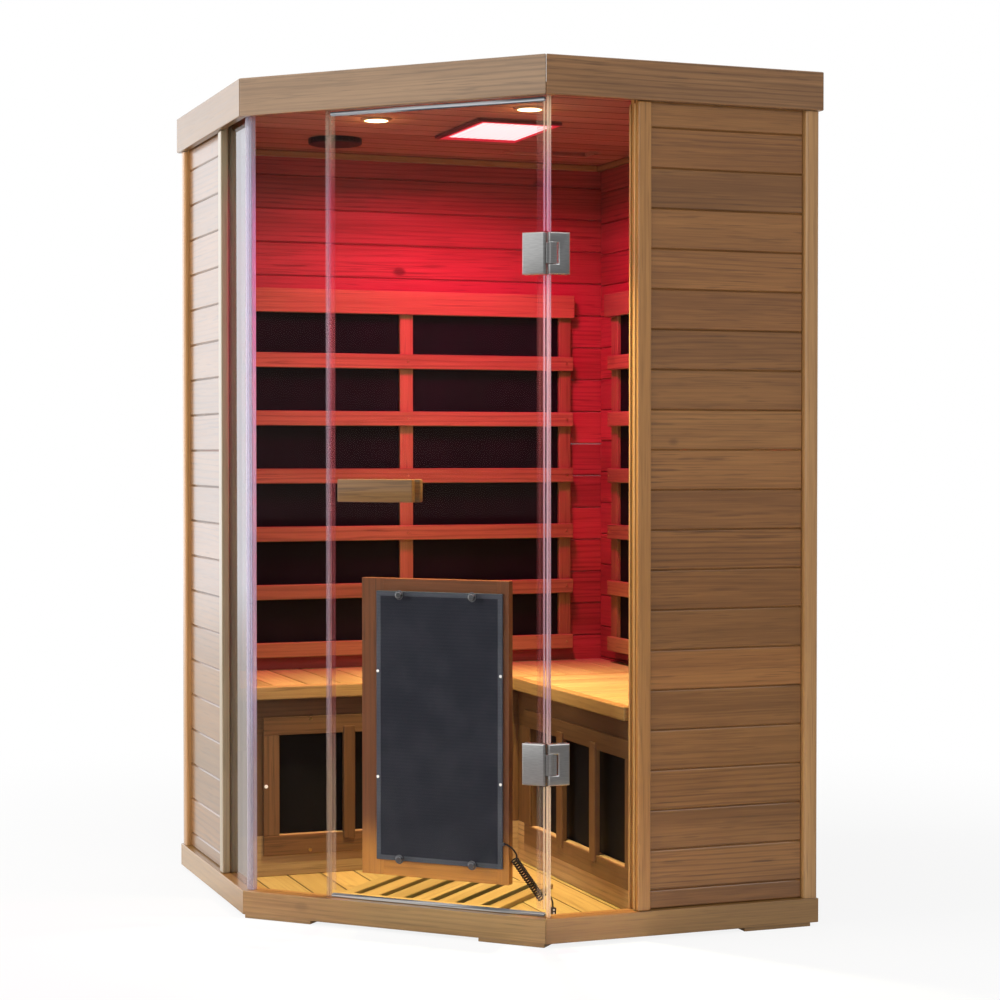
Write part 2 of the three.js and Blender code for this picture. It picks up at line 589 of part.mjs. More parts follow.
const element = box(
  grown(FRAME_WINDOW[0], -FIT_GAP),
  [ELEMENT_BACK, SHEET_DEPTH[0] + 1],
  grown(FRAME_WINDOW[1], -FIT_GAP),
);
const sheet = box(SHEET_SPAN, SHEET_DEPTH, SHEET_HEIGHT);
const sheetHoles = studPlaces.map((place) => crossRod(place, grown(SHEET_DEPTH, 1), STUD_HOLE));
const heaterPanel = cut(join(sheet, element, box(...CORD_GLAND)), ...sheetHoles);
add(leafFrame, 'door_heater_panel', heaterPanel, HEATER_GREY);

// Wall heaters behind slatted guards
const HEATER_DEPTH = [LINING_INSET + FIT_GAP, LINING_INSET + FIT_GAP + HEATER_THICK];
const HEATER_HEIGHT = [545, 1445];
const STILE_DEPTH = [HEATER_DEPTH[1] + FIT_GAP, STILE_FRONT];
const SLAT_DEPTH = [STILE_FRONT - 1, GUARD_FRONT];
const STILE_HEIGHT = [SLAT_LOWEST + 4, RAIL_HEIGHT[0] + 20];

function wallHeater(side, name, { heater, rail, slats, stiles }) {
  add(side.group, `${name}_heater`, box(heater, HEATER_DEPTH, HEATER_HEIGHT), HEATER_BLACK);
  const bars = [box(rail, SLAT_DEPTH, RAIL_HEIGHT)];
  for (let i = 0; i < SLAT_COUNT; i += 1) {
    const low = SLAT_LOWEST + i * SLAT_PITCH;
    bars.push(box(slats, SLAT_DEPTH, [low, low + SLAT_HEIGHT]));
  }
  const uprights = stiles.map((stile) => box(stile, STILE_DEPTH, STILE_HEIGHT));
  add(side.group, `${name}_guard`, join(...uprights, ...bars), INNER_WOOD);
}

wallHeater(back, 'back', {
  heater: [165, 1035],
  rail: [142, 1058],
  slats: [146, 1054],
  stiles: [[147, 181], [592, 628], [1012, 1052]],
});
wallHeater(right, 'right', {
  heater: [170, 1020],
  rail: [144, 1041],
  slats: [148, 1018],
  stiles: [[160, 203], [560, 600], [988, 1028]],
});

// Bench: two seats, framed fronts with bars, and a heater behind each front
const FRAME_RELIEF = 6;
const BAR_RELIEF = 10;
const BAR_OVERLAP = 16;
const BENCH_HEATER_GAP = 4;
const BENCH_BASE = FLOOR_TOP + FIT_GAP;

function bench(side, name, { seat, board, window, bars }) {
  const seatBox = box(seat, [LINING_INSET + FIT_GAP, SEAT_FRONT], SEAT_HEIGHT);
  add(side.group, `${name}_bench_seat`, seatBox, INNER_WOOD);
  const panel = box(board, BENCH_BOARD, [BENCH_BASE, SEAT_HEIGHT[0] - FIT_GAP]);
  const frameStart = Math.max(window[0] - BENCH_FRAME_SIDE, board[0]);
  const frameSpan = [frameStart, window[1] + BENCH_FRAME_SIDE];
  const moulding = box(frameSpan, [BENCH_BOARD[1] - 1, BENCH_BOARD[1] + FRAME_RELIEF], BENCH_FRAME);
  const opening = box(window, grown(BENCH_BOARD, 20), BENCH_WINDOW);
  const uprights = bars.map((bar) => (
    box(bar, [BENCH_BOARD[1] - 4, BENCH_BOARD[1] + BAR_RELIEF], grown(BENCH_WINDOW, BAR_OVERLAP))
  ));
  add(side.group, `${name}_bench_front`, join(cut(join(panel, moulding), opening), ...uprights), INNER_WOOD);
  const heaterFront = BENCH_BOARD[0] - BENCH_HEATER_GAP;
  const heater = box(grown(window, 9), [heaterFront - HEATER_THICK, heaterFront], grown(BENCH_WINDOW, 9));
  add(side.group, `${name}_bench_heater`, heater, HEATER_BLACK);
}

bench(back, 'back', {
  seat: [52.4, 1147.6],
  board: [419, 1147.2],
  window: [517, 1051],
  bars: [[676, 705], [863, 892]],
});
bench(right, 'right', {
  seat: [60, 742.6],
  board: [60, 762.6],
  window: [89, 668],
  bars: [[250, 284], [449, 486]],
});

// Ceiling fittings
const FITTING_TOP = CEILING_BOTTOM - FIT_GAP;
const DOWNLIGHT = [
  [0, 1831],
  [24, 1831],
  [26, 1829.6],
  [33, 1829.6],
  [35, 1831],
  [35, FITTING_TOP],
  [0, FITTING_TOP],
];
const SPEAKER = [
  [0, 1819],
  [60, 1819],
  [64.5, 1820.4],
  [66, 1823],
  [66, FITTING_TOP],
  [0, FITTING_TOP],
];
const SENSOR = [[0, 1824], [7, 1824], [9, 1826], [9, FITTING_TOP], [0, FITTING_TOP]];
const DOWNLIGHT_PLACES = { left: [-273, -56], right: [0, -335] };
const SPEAKER_PLACE = [-271, 292];
const SENSOR_PLACE = [420, -380];
const SENSOR_SIDES = 16;
const COLOUR_LIGHT = [[-60, 150], [-160, 150], [1826, FITTING_TOP]];
for (const [place, middle] of Object.entries(DOWNLIGHT_PLACES)) {
  add(cabin, `downlight_${place}`, turned(DOWNLIGHT, middle), LAMP_LENS);
}
add(cabin, 'speaker', turned(SPEAKER, SPEAKER_PLACE), BLACK_PLASTIC);
add(cabin, 'temperature_sensor', turned(SENSOR, SENSOR_PLACE, SENSOR_SIDES), CLEAR_SEAL);
add(cabin, 'colour_light', box(...COLOUR_LIGHT), LAMP_LENS);

// Touch keypad on the lining of the front panel
const KEYPAD = [[365, 465], [LINING_INSET + FIT_GAP, LINING_INSET + 7], [1250, 1330]];
add(front.group, 'keypad', box(...KEYPAD), BLACK_PLASTIC);

// Curly cord from the door heater to a fitting on the floor
const SOCKET_X = [-8, 4];
const SOCKET_Y = [-489, -475];
const SOCKET_HEIGHT = [FLOOR_TOP + FIT_GAP, 62];
const CORD_GAP = 0.3;
add(cabin, 'cord_floor_socket', box(SOCKET_X, SOCKET_Y, SOCKET_HEIGHT), BLACK_PLASTIC);

const plugX = (SOCKET_X[0] + SOCKET_X[1]) / 2;
const plugY = (SOCKET_Y[0] + SOCKET_Y[1]) / 2;
const cordSteps = [];

function doorPoint(along, outward, height) {
  leafFrame.updateWorldMatrix(true, false);
  return new THREE.Vector3(along, outward, height).applyMatrix4(leafFrame.matrixWorld);
}

// The curls turn about a straight axis and start on the side of the door
const coilStart = doorPoint(94, -20, 176);
const coilEnd = new THREE.Vector3(-24, -470, 81);
const coilAxis = coilEnd.clone().sub(coilStart);
const coilAcross = new THREE.Vector3(0, 0, 1).cross(coilAxis).normalize();
const coilUp = coilAxis.clone().cross(coilAcross).normalize();
const coilSteps = CURL_COUNT * CURL_STEPS;

function coilPoint(step) {
  const turn = Math.PI + (2 * Math.PI * step) / CURL_STEPS;
  const point = coilStart.clone().addScaledVector(coilAxis, step / coilSteps);
  point.addScaledVector(coilAcross, CURL_RADIUS * Math.cos(turn));
  return point.addScaledVector(coilUp, CURL_RADIUS * Math.sin(turn));
}

// The lead leaves the gland along the door, turns down past the frame and enters the first curl
const LEAD_DROP = [0.6, 0, 3.6];
const glandEnd = CORD_GLAND[0][0] - CORD_GAP;
const glandDepth = (SHEET_DEPTH[0] + SHEET_DEPTH[1]) / 2;
const glandHeight = (CORD_GLAND[2][0] + CORD_GLAND[2][1]) / 2;
const lead = new THREE.CatmullRomCurve3([
  doorPoint(glandEnd, glandDepth, glandHeight),
  doorPoint(glandEnd - 2 * CORD_RADIUS, glandDepth, glandHeight),
  doorPoint(98.5, -11, 203.5),
  doorPoint(92, -14.5, 195.5),
  doorPoint(88.6, -18.6, 187),
  coilPoint(0).add(new THREE.Vector3(...LEAD_DROP)),
]);

// The tail leaves the last curl and bends down into the floor fitting
const TAIL_RISE = [2.6, 1.2, 2.4];
const tail = new THREE.CatmullRomCurve3([
  coilPoint(coilSteps).add(new THREE.Vector3(...TAIL_RISE)),
  new THREE.Vector3(-14, -468, 88),
  new THREE.Vector3(-6, -475, 85),
  new THREE.Vector3(-2.4, -480.6, 76),
  new THREE.Vector3(plugX, plugY, SOCKET_HEIGHT[1] + CORD_GAP + 2 * CORD_RADIUS),
  new THREE.Vector3(plugX, plugY, SOCKET_HEIGHT[1] + CORD_GAP),
]);

cordSteps.push(...lead.getPoints(LEAD_STEPS));
for (let i = 0; i <= coilSteps; i += 1) {
  cordSteps.push(coilPoint(i));
}
cordSteps.push(...tail.getPoints(LEAD_STEPS));

// One unbroken tube of five sides along the points, capped at both ends
function tube(points, radius, sides) {
  const positions = [];
  const index = [];
  const count = points.length;
  const normal = new THREE.Vector3(0.3, 0.5, 0.8);
  for (let i = 0; i < count; i += 1) {
    const before = points[Math.max(i - 1, 0)];
    const after = points[Math.min(i + 1, count - 1)];
    const along = after.clone().sub(before).normalize();
    normal.addScaledVector(along, -normal.dot(along)).normalize();
    const side = along.clone().cross(normal);
    for (let k = 0; k < sides; k += 1) {
      const turn = (2 * Math.PI * k) / sides;
      const point = points[i].clone();
      point.addScaledVector(normal, radius * Math.cos(turn));
      point.addScaledVector(side, radius * Math.sin(turn));
      positions.push(point.x, point.y, point.z);
    }
  }
  for (let i = 0; i + 1 < count; i += 1) {
    for (let k = 0; k < sides; k += 1) {
      const a = i * sides + k;
      const b = i * sides + ((k + 1) % sides);
      index.push(a, b, b + sides, a, b + sides, a + sides);
    }
  }
  for (let k = 1; k + 1 < sides; k += 1) {
    const last = (count - 1) * sides;
    index.push(0, k + 1, k, last, last + k, last + k + 1);
  }
  const geometry = new THREE.BufferGeometry();
  geometry.setAttribute('position', new THREE.Float32BufferAttribute(positions, 3));
  geometry.setIndex(index);
  geometry.computeVertexNormals();
  return geometry;
}

// Least clear gap of the cord to itself, between points more than three diameters apart along it
function leastGap(points, radius) {
  const reach = [0];
  for (let i = 1; i < points.length; i += 1) {
    reach.push(reach[i - 1] + points[i].distanceTo(points[i - 1]));
  }
  let least = Infinity;
  for (let i = 0; i < points.length; i += 1) {
    for (let j = i + 1; j < points.length; j += 1) {
      if (reach[j] - reach[i] > 6 * radius) {
        least = Math.min(least, points[i].distanceTo(points[j]) - 2 * radius);
      }
    }
  }
  return { least, length: reach[reach.length - 1] };
}

const cordMeasure = leastGap(cordSteps, CORD_RADIUS);
console.log(`cord length ${cordMeasure.length.toFixed(0)} mm, least gap ${cordMeasure.least.toFixed(2)} mm`);
add(cabin, 'heater_cord', tube(cordSteps, CORD_RADIUS, CORD_SIDES), BLACK_PLASTIC);

export default cabin;
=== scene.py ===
import random
from math import cos, pi, radians, sin, sqrt, tan

import bpy
from mathutils import Matrix, Vector


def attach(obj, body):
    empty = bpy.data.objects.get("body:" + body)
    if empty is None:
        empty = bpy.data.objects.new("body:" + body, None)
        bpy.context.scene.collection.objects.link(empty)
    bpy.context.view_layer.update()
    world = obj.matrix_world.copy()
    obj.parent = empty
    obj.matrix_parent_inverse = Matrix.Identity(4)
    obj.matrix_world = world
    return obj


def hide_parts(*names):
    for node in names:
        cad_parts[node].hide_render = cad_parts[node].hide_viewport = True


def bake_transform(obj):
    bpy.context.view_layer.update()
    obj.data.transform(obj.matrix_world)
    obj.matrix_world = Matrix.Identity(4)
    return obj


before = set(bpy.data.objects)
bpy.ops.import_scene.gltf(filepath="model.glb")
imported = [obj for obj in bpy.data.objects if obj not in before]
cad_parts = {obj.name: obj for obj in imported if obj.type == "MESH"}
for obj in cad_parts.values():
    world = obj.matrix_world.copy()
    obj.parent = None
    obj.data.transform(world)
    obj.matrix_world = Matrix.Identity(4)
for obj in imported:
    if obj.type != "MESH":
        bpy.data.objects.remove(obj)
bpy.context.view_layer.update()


# Studio: a plain white room with the camera a little above the middle of the cabin,
# far back and turned to its cut corner. Soft light comes from the left and from the front.
class Tone:
    """A value on a surface; arithmetic on it adds the nodes that work it out."""

    def __init__(self, tree, socket=None):
        self.tree = tree
        self.socket = socket

    def node(self, kind, settings, inputs, out=0):
        made = self.tree.nodes.new("ShaderNode" + kind)
        for key, value in settings.items():
            if key == "stops":
                ramp = made.color_ramp.elements
                while len(ramp) < len(value):
                    ramp.new(1.0)
                for stop, (place, colour) in zip(ramp, value):
                    stop.position = place
                    stop.color = colour
            else:
                setattr(made, key, value)
        for key, value in inputs.items():
            if isinstance(value, Tone):
                self.tree.links.new(value.socket, made.inputs[key])
            else:
                made.inputs[key].default_value = value
        return Tone(self.tree, made.outputs[out])

    def sum(self, operation, first, second):
        return self.node("Math", {"operation": operation}, {0: first, 1: second})

    def __add__(self, other):
        return self.sum("ADD", self, other)

    def __radd__(self, other):
        return self.sum("ADD", other, self)

    def __sub__(self, other):
        return self.sum("SUBTRACT", self, other)

    def __rsub__(self, other):
        return self.sum("SUBTRACT", other, self)

    def __mul__(self, other):
        return self.sum("MULTIPLY", self, other)

    def __rmul__(self, other):
        return self.sum("MULTIPLY", other, self)

    def between(self, low, high):
        ends = {"Value": self, "From Min": low, "From Max": high}
        return self.node("MapRange", {"interpolation_type": "SMOOTHSTEP"}, ends)

    def blend(self, first, second, way="MIX"):
        colours = {"data_type": "RGBA", "blend_type": way}
        return self.node("Mix", colours, {0: self, 6: first, 7: second}, 2)

    def stretch(self, scale):
        return self.node("VectorMath", {"operation": "MULTIPLY"}, {0: self, 1: scale})

    def place(self, kind="Object"):
        return self.node("TexCoord", {}, {}, kind)

    def axis(self, letter):
        return self.node("SeparateXYZ", {}, {"Vector": self}, letter)

    def ray(self, kind):
        return self.node("LightPath", {}, {}, f"Is {kind} Ray")

    def noise(self, scale, detail=2.0, roughness=0.5):
        spread = {"Vector": self, "Scale": scale, "Detail": detail, "Roughness": roughness}
        return self.node("TexNoise", {}, spread)

    def bump(self, strength, distance):
        relief = {"Height": self, "Strength": strength, "Distance": distance}
        return self.node("Bump", {}, relief, "Normal")

    def skin(self):
        return Tone(self.tree, self.tree.nodes["Principled BSDF"].outputs[0])

    def mix(self, first, second):
        return self.node("MixShader", {}, {0: self, 1: first, 2: second})

    def show(self):
        self.tree.links.new(self.socket, self.tree.nodes["Material Output"].inputs["Surface"])


def surface(name):
    material = bpy.data.materials.new(name)
    material.use_nodes = True
    return material, Tone(material.node_tree)


def lay(material, values):
    tree = material.node_tree
    shader = tree.nodes["Principled BSDF"]
    for key, value in values.items():
        if isinstance(value, Tone):
            tree.links.new(value.socket, shader.inputs[key])
        else:
            shader.inputs[key].default_value = value


scene = bpy.context.scene
scene.view_settings.view_transform = "Standard"

CAMERA_PLACE = (-1.808, -5.001, 1.062)
CAMERA_TILT = radians(88.77)
CAMERA_TURN = radians(-20.42)
bpy.ops.object.select_all(action="DESELECT")
bpy.ops.object.camera_add(location=CAMERA_PLACE)
camera = bpy.context.object
camera.rotation_euler = (CAMERA_TILT, 0, CAMERA_TURN)
camera.data.lens = 80.03
camera.data.sensor_width = 36
scene.camera = camera

WHITE = (1, 1, 1, 1)
FAR_WHITE = (1.4, 1.4, 1.42, 1)
ROOM_GREY = (0.5, 0.5, 0.5, 1)
world = bpy.data.worlds.new("white_room")
world.use_nodes = True
scene.world = world
sky = Tone(world.node_tree)
backdrop = world.node_tree.nodes["Background"]
room_way = sky.place("Generated")
left_wall = (0 - room_way.axis("X")).between(0.2, 0.95).blend((0.15, 0.15, 0.155, 1), (0.6, 0.6, 0.6, 1))
far_wall = room_way.axis("Y").between(0.1, 0.8).blend(left_wall, FAR_WHITE)
glossy_room = room_way.axis("Z").between(0.45, 0.85).blend(far_wall, WHITE)
lit_room = sky.ray("Glossy").blend(ROOM_GREY, glossy_room)
seen_room = (sky.ray("Camera") + sky.ray("Transmission")).blend(lit_room, WHITE)
world.node_tree.links.new(seen_room.socket, backdrop.inputs["Color"])
backdrop.inputs["Strength"].default_value = 1.0

bpy.ops.mesh.primitive_plane_add(size=60, location=(0, 0, -0.0004))
studio_floor = bpy.context.object
studio_floor.name = "studio_floor"
floor_paper, paper = surface("studio_paper")
paper_speck = paper.node("TexNoise", {}, {"Scale": 3.0, "Detail": 2.0})
paper_tone = paper_speck.blend((0.86, 0.86, 0.86, 1), (0.9, 0.9, 0.9, 1))
lay(floor_paper, {"Base Color": paper_tone, "Roughness": 0.9, "Specular IOR Level": 0.0})
paper_mirror = paper.ray("Glossy")
paper_place = paper.place()
paper_back = paper_place.axis("Y").between(-0.3, 0.5)
paper_away = paper.node("VectorMath", {"operation": "LENGTH"}, {0: paper_place}, "Value")
paper_share = (paper.ray("Camera") + paper_mirror) * (0.86 + 0.14 * paper_away.between(1.0, 3.0))
paper_dusk = paper_back.blend((0.09, 0.085, 0.08, 1), (0.85, 0.77, 0.68, 1))
paper_dusk = (paper_away.between(3.0, 14.0) * paper_back).blend(paper_dusk, FAR_WHITE)
paper_light = paper_mirror.blend(WHITE, paper_dusk)
paper_glow = paper.node("Emission", {}, {"Color": paper_light, "Strength": 1.0})
paper_share.mix(paper.skin(), paper_glow).show()
studio_floor.data.materials.append(floor_paper)


def lamp(kind, name, place, aim, energy, colour, size):
    bpy.ops.object.select_all(action="DESELECT")
    bpy.ops.object.light_add(type=kind, location=place)
    light = bpy.context.object
    light.name = name
    light.rotation_euler = (Vector(aim) - Vector(place)).to_track_quat("-Z", "Y").to_euler()
    light.data.energy = energy
    light.visible_glossy = False
    light.data.color = colour
    if kind == "AREA":
        light.data.shape = "RECTANGLE"
        light.data.size, light.data.size_y = size
    else:
        light.data.shadow_soft_size = size
    return light


DAYLIGHT = (1, 0.98, 0.95)
lamp("AREA", "window_light", (-5.2, 0.5, 2.6), (-0.4, 0.0, 1.0), 230, DAYLIGHT, (3.0, 3.0))
lamp("AREA", "front_light", (-0.6, -6.0, 3.4), (0.0, -0.5, 0.9), 108, DAYLIGHT, (3.5, 2.5))


# Plinth: five sawn beams of warm brown softwood, mitred at the corners and screwed
# together on edge. Flat plates of the same wood under them carry the cabin.
chance = random.Random(11)
CUT_MITRE = tan(radians(22.5))
SIDES = {
    "left": ((-0.6, 0.6), radians(-90)),
    "door": ((-0.6, -0.065), radians(-45)),
    "front": ((-0.065, -0.6), 0),
    "right": ((0.6, -0.6), radians(90)),
    "back": ((0.6, 0.6), radians(180)),
    "room": ((0, 0), 0),
    "leaf": ((-0.04407, -0.57398), radians(135)),
}
RUNS = {
    "left": (0.665, 1, CUT_MITRE),
    "door": (0.535 * sqrt(2), CUT_MITRE, CUT_MITRE),
    "front": (0.665, CUT_MITRE, 1),
    "right": (1.2, 1, 1),
    "back": (1.2, 1, 1),
}
SIDE_GRAIN = {"left": "y", "door": "door", "front": "x", "right": "y", "back": "x"}
GRAIN_TURN = {
    "x": (0, 0, 0),
    "y": (0, 0, radians(-90)),
    "z": (0, radians(90), 0),
    "door": (0, 0, radians(45)),
    "across_door": (0, 0, radians(-45)),
}


def toned(colour, tone):
    return tuple(tone * c for c in colour)


def wood(
    name, pale, dark, grain, gloss=0.45, knots=1.0, lacquer=0.0, figured=0.7, shine=2.1,
    seam=0.0, painted_inside_light=(1, 1, 1), foot=(1, 1, 1),
):
    """Softwood: growth rings, fine fibres and a few knots, drawn along the board.

    The lacquer is on the faces that look out of the cabin. The faces that look into the cabin are multiplied by a tint
    of painted red light that stands in for the glow inside, and the low part of a piece can be multiplied by a tint of
    painted warm light from below.
    """
    material, start = surface(name)
    place = start.place()
    facing = start.place("Normal")
    level_place = place.stretch((1, 1, 0))
    lean = start.node("VectorMath", {"operation": "DOT_PRODUCT"}, {0: level_place, 1: facing}, "Value")
    outward = lean.between(-0.01, 0.01)
    upward = start.node("Math", {"operation": "ABSOLUTE"}, {0: facing.axis("Z")})
    chamfer = upward.between(0.5, 0.66) * (1 - upward.between(0.76, 0.9))
    along = start.node("Mapping", {}, {"Vector": place, "Rotation": GRAIN_TURN[grain]})
    own = start.node("Attribute", {"attribute_name": "board"}, {}, "Fac")
    shift = {0: own, 1: (9.3, 0.73, 1.19), 2: along}
    moved = start.node("VectorMath", {"operation": "MULTIPLY_ADD"}, shift)
    rings = start.node(
        "TexWave",
        {"wave_type": "RINGS", "rings_direction": "X"},
        {"Vector": moved.stretch((0.1, 1, 1)), "Scale": 26, "Distortion": 14.0,
         "Detail": 3.0, "Detail Scale": 0.25, "Detail Roughness": 0.6},
        "Fac",
    )

    def streaks(scale, detail):
        return moved.stretch(scale).noise(1.0, detail, 0.6)

    figure = streaks((1.1, 20, 20), 5.0)
    fibre = streaks((7, 380, 380), 3.0)
    dash = streaks((9, 190, 190), 1.0).between(0.56, 0.72)
    cloud = streaks((0.8, 6, 6), 1.0)
    base = (figure * 0.6 + fibre * 0.4).between(0.3, 0.7).blend((*dark, 1), (*pale, 1))
    late = start.sum("POWER", rings, 4) * (0.12 + 0.6 * cloud.between(0.42, 0.66))
    deep = late + dash * (0.25 + 0.45 * figure.between(0.35, 0.6))

    def darker(share):
        return (*toned(dark, share), 1)

    colour = (deep * figured).blend(base, darker(0.5))
    second = start.node("Math", {"operation": "FRACT"}, {0: own * 7.31})
    warm = (second * 0.5).blend(colour, (1.06, 0.9, 0.76, 1), "MULTIPLY")
    multiply = {"data_type": "RGBA", "blend_type": "MULTIPLY"}
    tinted = start.node("Mix", multiply, {0: 1.0, 6: warm, 7: 0.84 + 0.32 * own}, 2)
    spots = {"Vector": moved.stretch((3.2, 5, 5)), "Scale": 1.0}
    knot = 1 - start.node("TexVoronoi", {}, spots, "Distance").between(0.03, 0.075)
    marked = (knot * (0.75 * knots)).blend(tinted, darker(0.35))
    marked = (chamfer * seam).blend(marked, darker(0.2))
    # Painted light: faces that look into the cabin are multiplied by a red tint that stands in for the red glow inside.
    marked = (1 - outward).blend(marked, (*painted_inside_light, 1), "MULTIPLY")
    # Painted light: colour below about 0.2 m up is multiplied by a warm tint that stands in for light from the lit
    # floor and the spot lamp.
    marked = (1 - place.axis("Z").between(0.15, 0.26)).blend(marked, (*foot, 1), "MULTIPLY")
    bump = (figure * 0.4 + fibre * 0.6).bump(0.3, 0.0006)
    sheen = gloss - 0.06 + 0.2 * fibre
    lay(material, {
        "Base Color": marked, "Roughness": sheen, "Normal": bump,
        "Coat Weight": outward * lacquer, "Coat Roughness": 0.16, "Coat IOR": shine,
    })
    return material


OUTER_PALE = (0.345, 0.158, 0.041)
OUTER_DARK = (0.205, 0.086, 0.0195)
# Each side: grain, tone, coat IOR, and a tint of painted red light for the faces inside the cabin.
OUTSIDES = {
    "left": ("y", 0.72, 2.8, (1.6, 0.62, 2.2)),
    "front": ("x", 1.0, 2.1, (1.18, 0.46, 1.5)),
    "right": ("y", 1.0, 1.7, (1.18, 0.46, 1.5)),
    "back": ("x", 1.0, 2.1, (1.18, 0.46, 1.5)),
}
outer_wood = {
    side: wood(
        "outer_wood_" + side, toned(OUTER_PALE, tone), toned(OUTER_DARK, tone), grain, 0.36,
        lacquer=1.0, shine=shine, seam=0.22, painted_inside_light=painted_inside_light,
    )
    for side, (grain, tone, shine, painted_inside_light) in OUTSIDES.items()
}


def blank(low, high):
    """A sawn blank between two corners, in the frame of the side that it belongs to."""
    bpy.ops.object.select_all(action="DESELECT")
    middle = [(a + b) / 2 for a, b in zip(low, high)]
    bpy.ops.mesh.primitive_cube_add(size=1, location=middle)
    piece = bpy.context.object
    piece.scale = [b - a for a, b in zip(low, high)]
    bpy.ops.object.transform_apply()
    return piece


def saw(piece, point, outward):
    """Cuts the board on a plane and keeps the side that the plane faces away from."""
    bpy.context.view_layer.objects.active = piece
    bpy.ops.object.mode_set(mode="EDIT")
    bpy.ops.mesh.select_all(action="SELECT")
    bpy.ops.mesh.bisect(plane_co=point, plane_no=outward, use_fill=True, clear_outer=True)
    bpy.ops.object.mode_set(mode="OBJECT")
    return piece


def ease(piece, width, rounds=2):
    """Takes the sharpness off every edge of a board."""
    bpy.context.view_layer.objects.active = piece
    bpy.ops.object.mode_set(mode="EDIT")
    bpy.ops.mesh.select_all(action="SELECT")
    bpy.ops.mesh.bevel(offset=width, segments=rounds, affect="EDGES")
    bpy.ops.object.mode_set(mode="OBJECT")
    return piece


def board(low, high, width):
    return ease(blank(low, high), width)


def side_board(side, inset, heights, width):
    """A board along a whole side, mitred at both ends with a hair of room at the mitre."""
    length, first, last = RUNS[side]
    spare, hair = 0.01, 0.0004
    piece = blank((-spare, inset[0], heights[0]), (length + spare, inset[1], heights[1]))
    saw(piece, (hair, 0, 0), (-1, first, 0))
    saw(piece, (length - hair, 0, 0), (1, last, 0))
    return ease(piece, width)


def fix(name, parts, side, finish, body="cabin", stands_for=(), tones=(0, 1)):
    """Joins the boards of one piece, sets it at its side of the cabin and fixes it there."""
    for part in parts:
        tint = part.data.attributes.new("board", "FLOAT", "POINT")
        tint.data.foreach_set("value", [chance.uniform(*tones)] * len(part.data.vertices))
    bpy.ops.object.select_all(action="DESELECT")
    for part in parts:
        part.select_set(True)
    bpy.context.view_layer.objects.active = parts[0]
    if len(parts) > 1:
        bpy.ops.object.join()
    piece = bpy.context.object
    piece.name = name
    corner, turn = SIDES[side]
    piece.location = (*corner, 0)
    piece.rotation_euler = (0, 0, turn)
    bpy.ops.object.transform_apply()
    bpy.ops.object.shade_smooth_by_angle(angle=radians(18))
    piece.data.materials.clear()
    piece.data.materials.append(finish)
    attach(piece, body)
    if stands_for:
        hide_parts(*stands_for)
    return piece


PLINTH_INSET = (0.005, 0.052)
PLINTH_Z = (0.008, 0.062)
PLINTH_PALE = (0.4, 0.228, 0.075)
PLINTH_DARK = (0.26, 0.139, 0.042)
plinth_wood = {
    grain: wood(
        "plinth_wood_" + grain, toned(PLINTH_PALE, tone), toned(PLINTH_DARK, tone), grain, 0.36, 0.3, 1.0, 0.5,
    )
    for grain, tone in (("x", 0.78), ("y", 1.06), ("door", 0.87))
}
for side in RUNS:
    beam = side_board(side, PLINTH_INSET, PLINTH_Z, 0.001)
    finish = plinth_wood[SIDE_GRAIN[side]]
    fix(f"plinth_beam_{side}", [beam], side, finish, stands_for=[f"plinth_{side}"])

FEET = {
    "door": ((0.0062, 0.177), (0.594, 0.7505)),
    "front": ((0.476, 0.64),),
    "back": ((0.06, 0.22), (0.98, 1.14)),
}
for side, spans in FEET.items():
    plates = [board((a, 0.006, 0.0), (b, 0.05, 0.0085), 0.001) for a, b in spans]
    fix(f"foot_plates_{side}", plates, side, plinth_wood[SIDE_GRAIN[side]])


# Floor: golden tongued boards that run from front to back on the plinth,
# with a well under the foot heater's grille.
FLOOR_INSET = 0.0524
FLOOR_EDGE = 0.6 - FLOOR_INSET
FLOOR_CUT = FLOOR_INSET * sqrt(2) - 0.665
FLOOR_Z = (0.02, 0.046)
FIRST_JOINT = -0.513
FLOOR_PITCH = 0.083
WELL = ((0.213, 0.096, 0.024), (0.592, 0.384, 0.05))
GAP = 0.0002


def cut_corner(piece, low, reach):
    """Saws a floor or ceiling board along the door side where it would pass it."""
    if low[0] + low[1] < reach:
        saw(piece, (reach, 0, 0), (-1, -1, 0))
    return piece


floor_joints = [-FLOOR_EDGE] + [FIRST_JOINT + FLOOR_PITCH * k for k in range(13)] + [FLOOR_EDGE]
floor_boards = []
for near, far in zip(floor_joints, floor_joints[1:]):
    low = (near + GAP, -FLOOR_EDGE, FLOOR_Z[0])
    piece = cut_corner(blank(low, (far - GAP, FLOOR_EDGE, FLOOR_Z[1])), low, FLOOR_CUT)
    floor_boards.append(ease(piece, 0.0022, 1))


def hollow(piece, low, high, side="room"):
    """Cuts the room between two corners out of a board."""
    cutter = blank(low, high)
    cutter.location = (*SIDES[side][0], 0)
    cutter.rotation_euler = (0, 0, SIDES[side][1])
    bpy.ops.object.transform_apply()
    bpy.ops.object.select_all(action="DESELECT")
    bpy.context.view_layer.objects.active = piece
    piece.select_set(True)
    bpy.ops.object.modifier_add(type="BOOLEAN")
    tool = piece.modifiers[-1]
    tool.operation = "DIFFERENCE"
    tool.solver = "EXACT"
    tool.object = cutter
    bpy.ops.object.modifier_apply(modifier=tool.name)
    bpy.data.objects.remove(cutter)


FLOOR_PALE = (0.385, 0.298, 0.1)
FLOOR_DARK = (0.265, 0.19, 0.055)
floor_wood = {
    grain: wood("floor_wood_" + grain, FLOOR_PALE, FLOOR_DARK, grain, 0.42, 0.5, 0.0, 0.5, seam=0.7)
    for grain in ("y", "door", "across_door")
}
for piece in floor_boards:
    hollow(piece, *WELL, "door")
fix("floor_boards", floor_boards, "room", floor_wood["y"], stands_for=["floor_panel"])


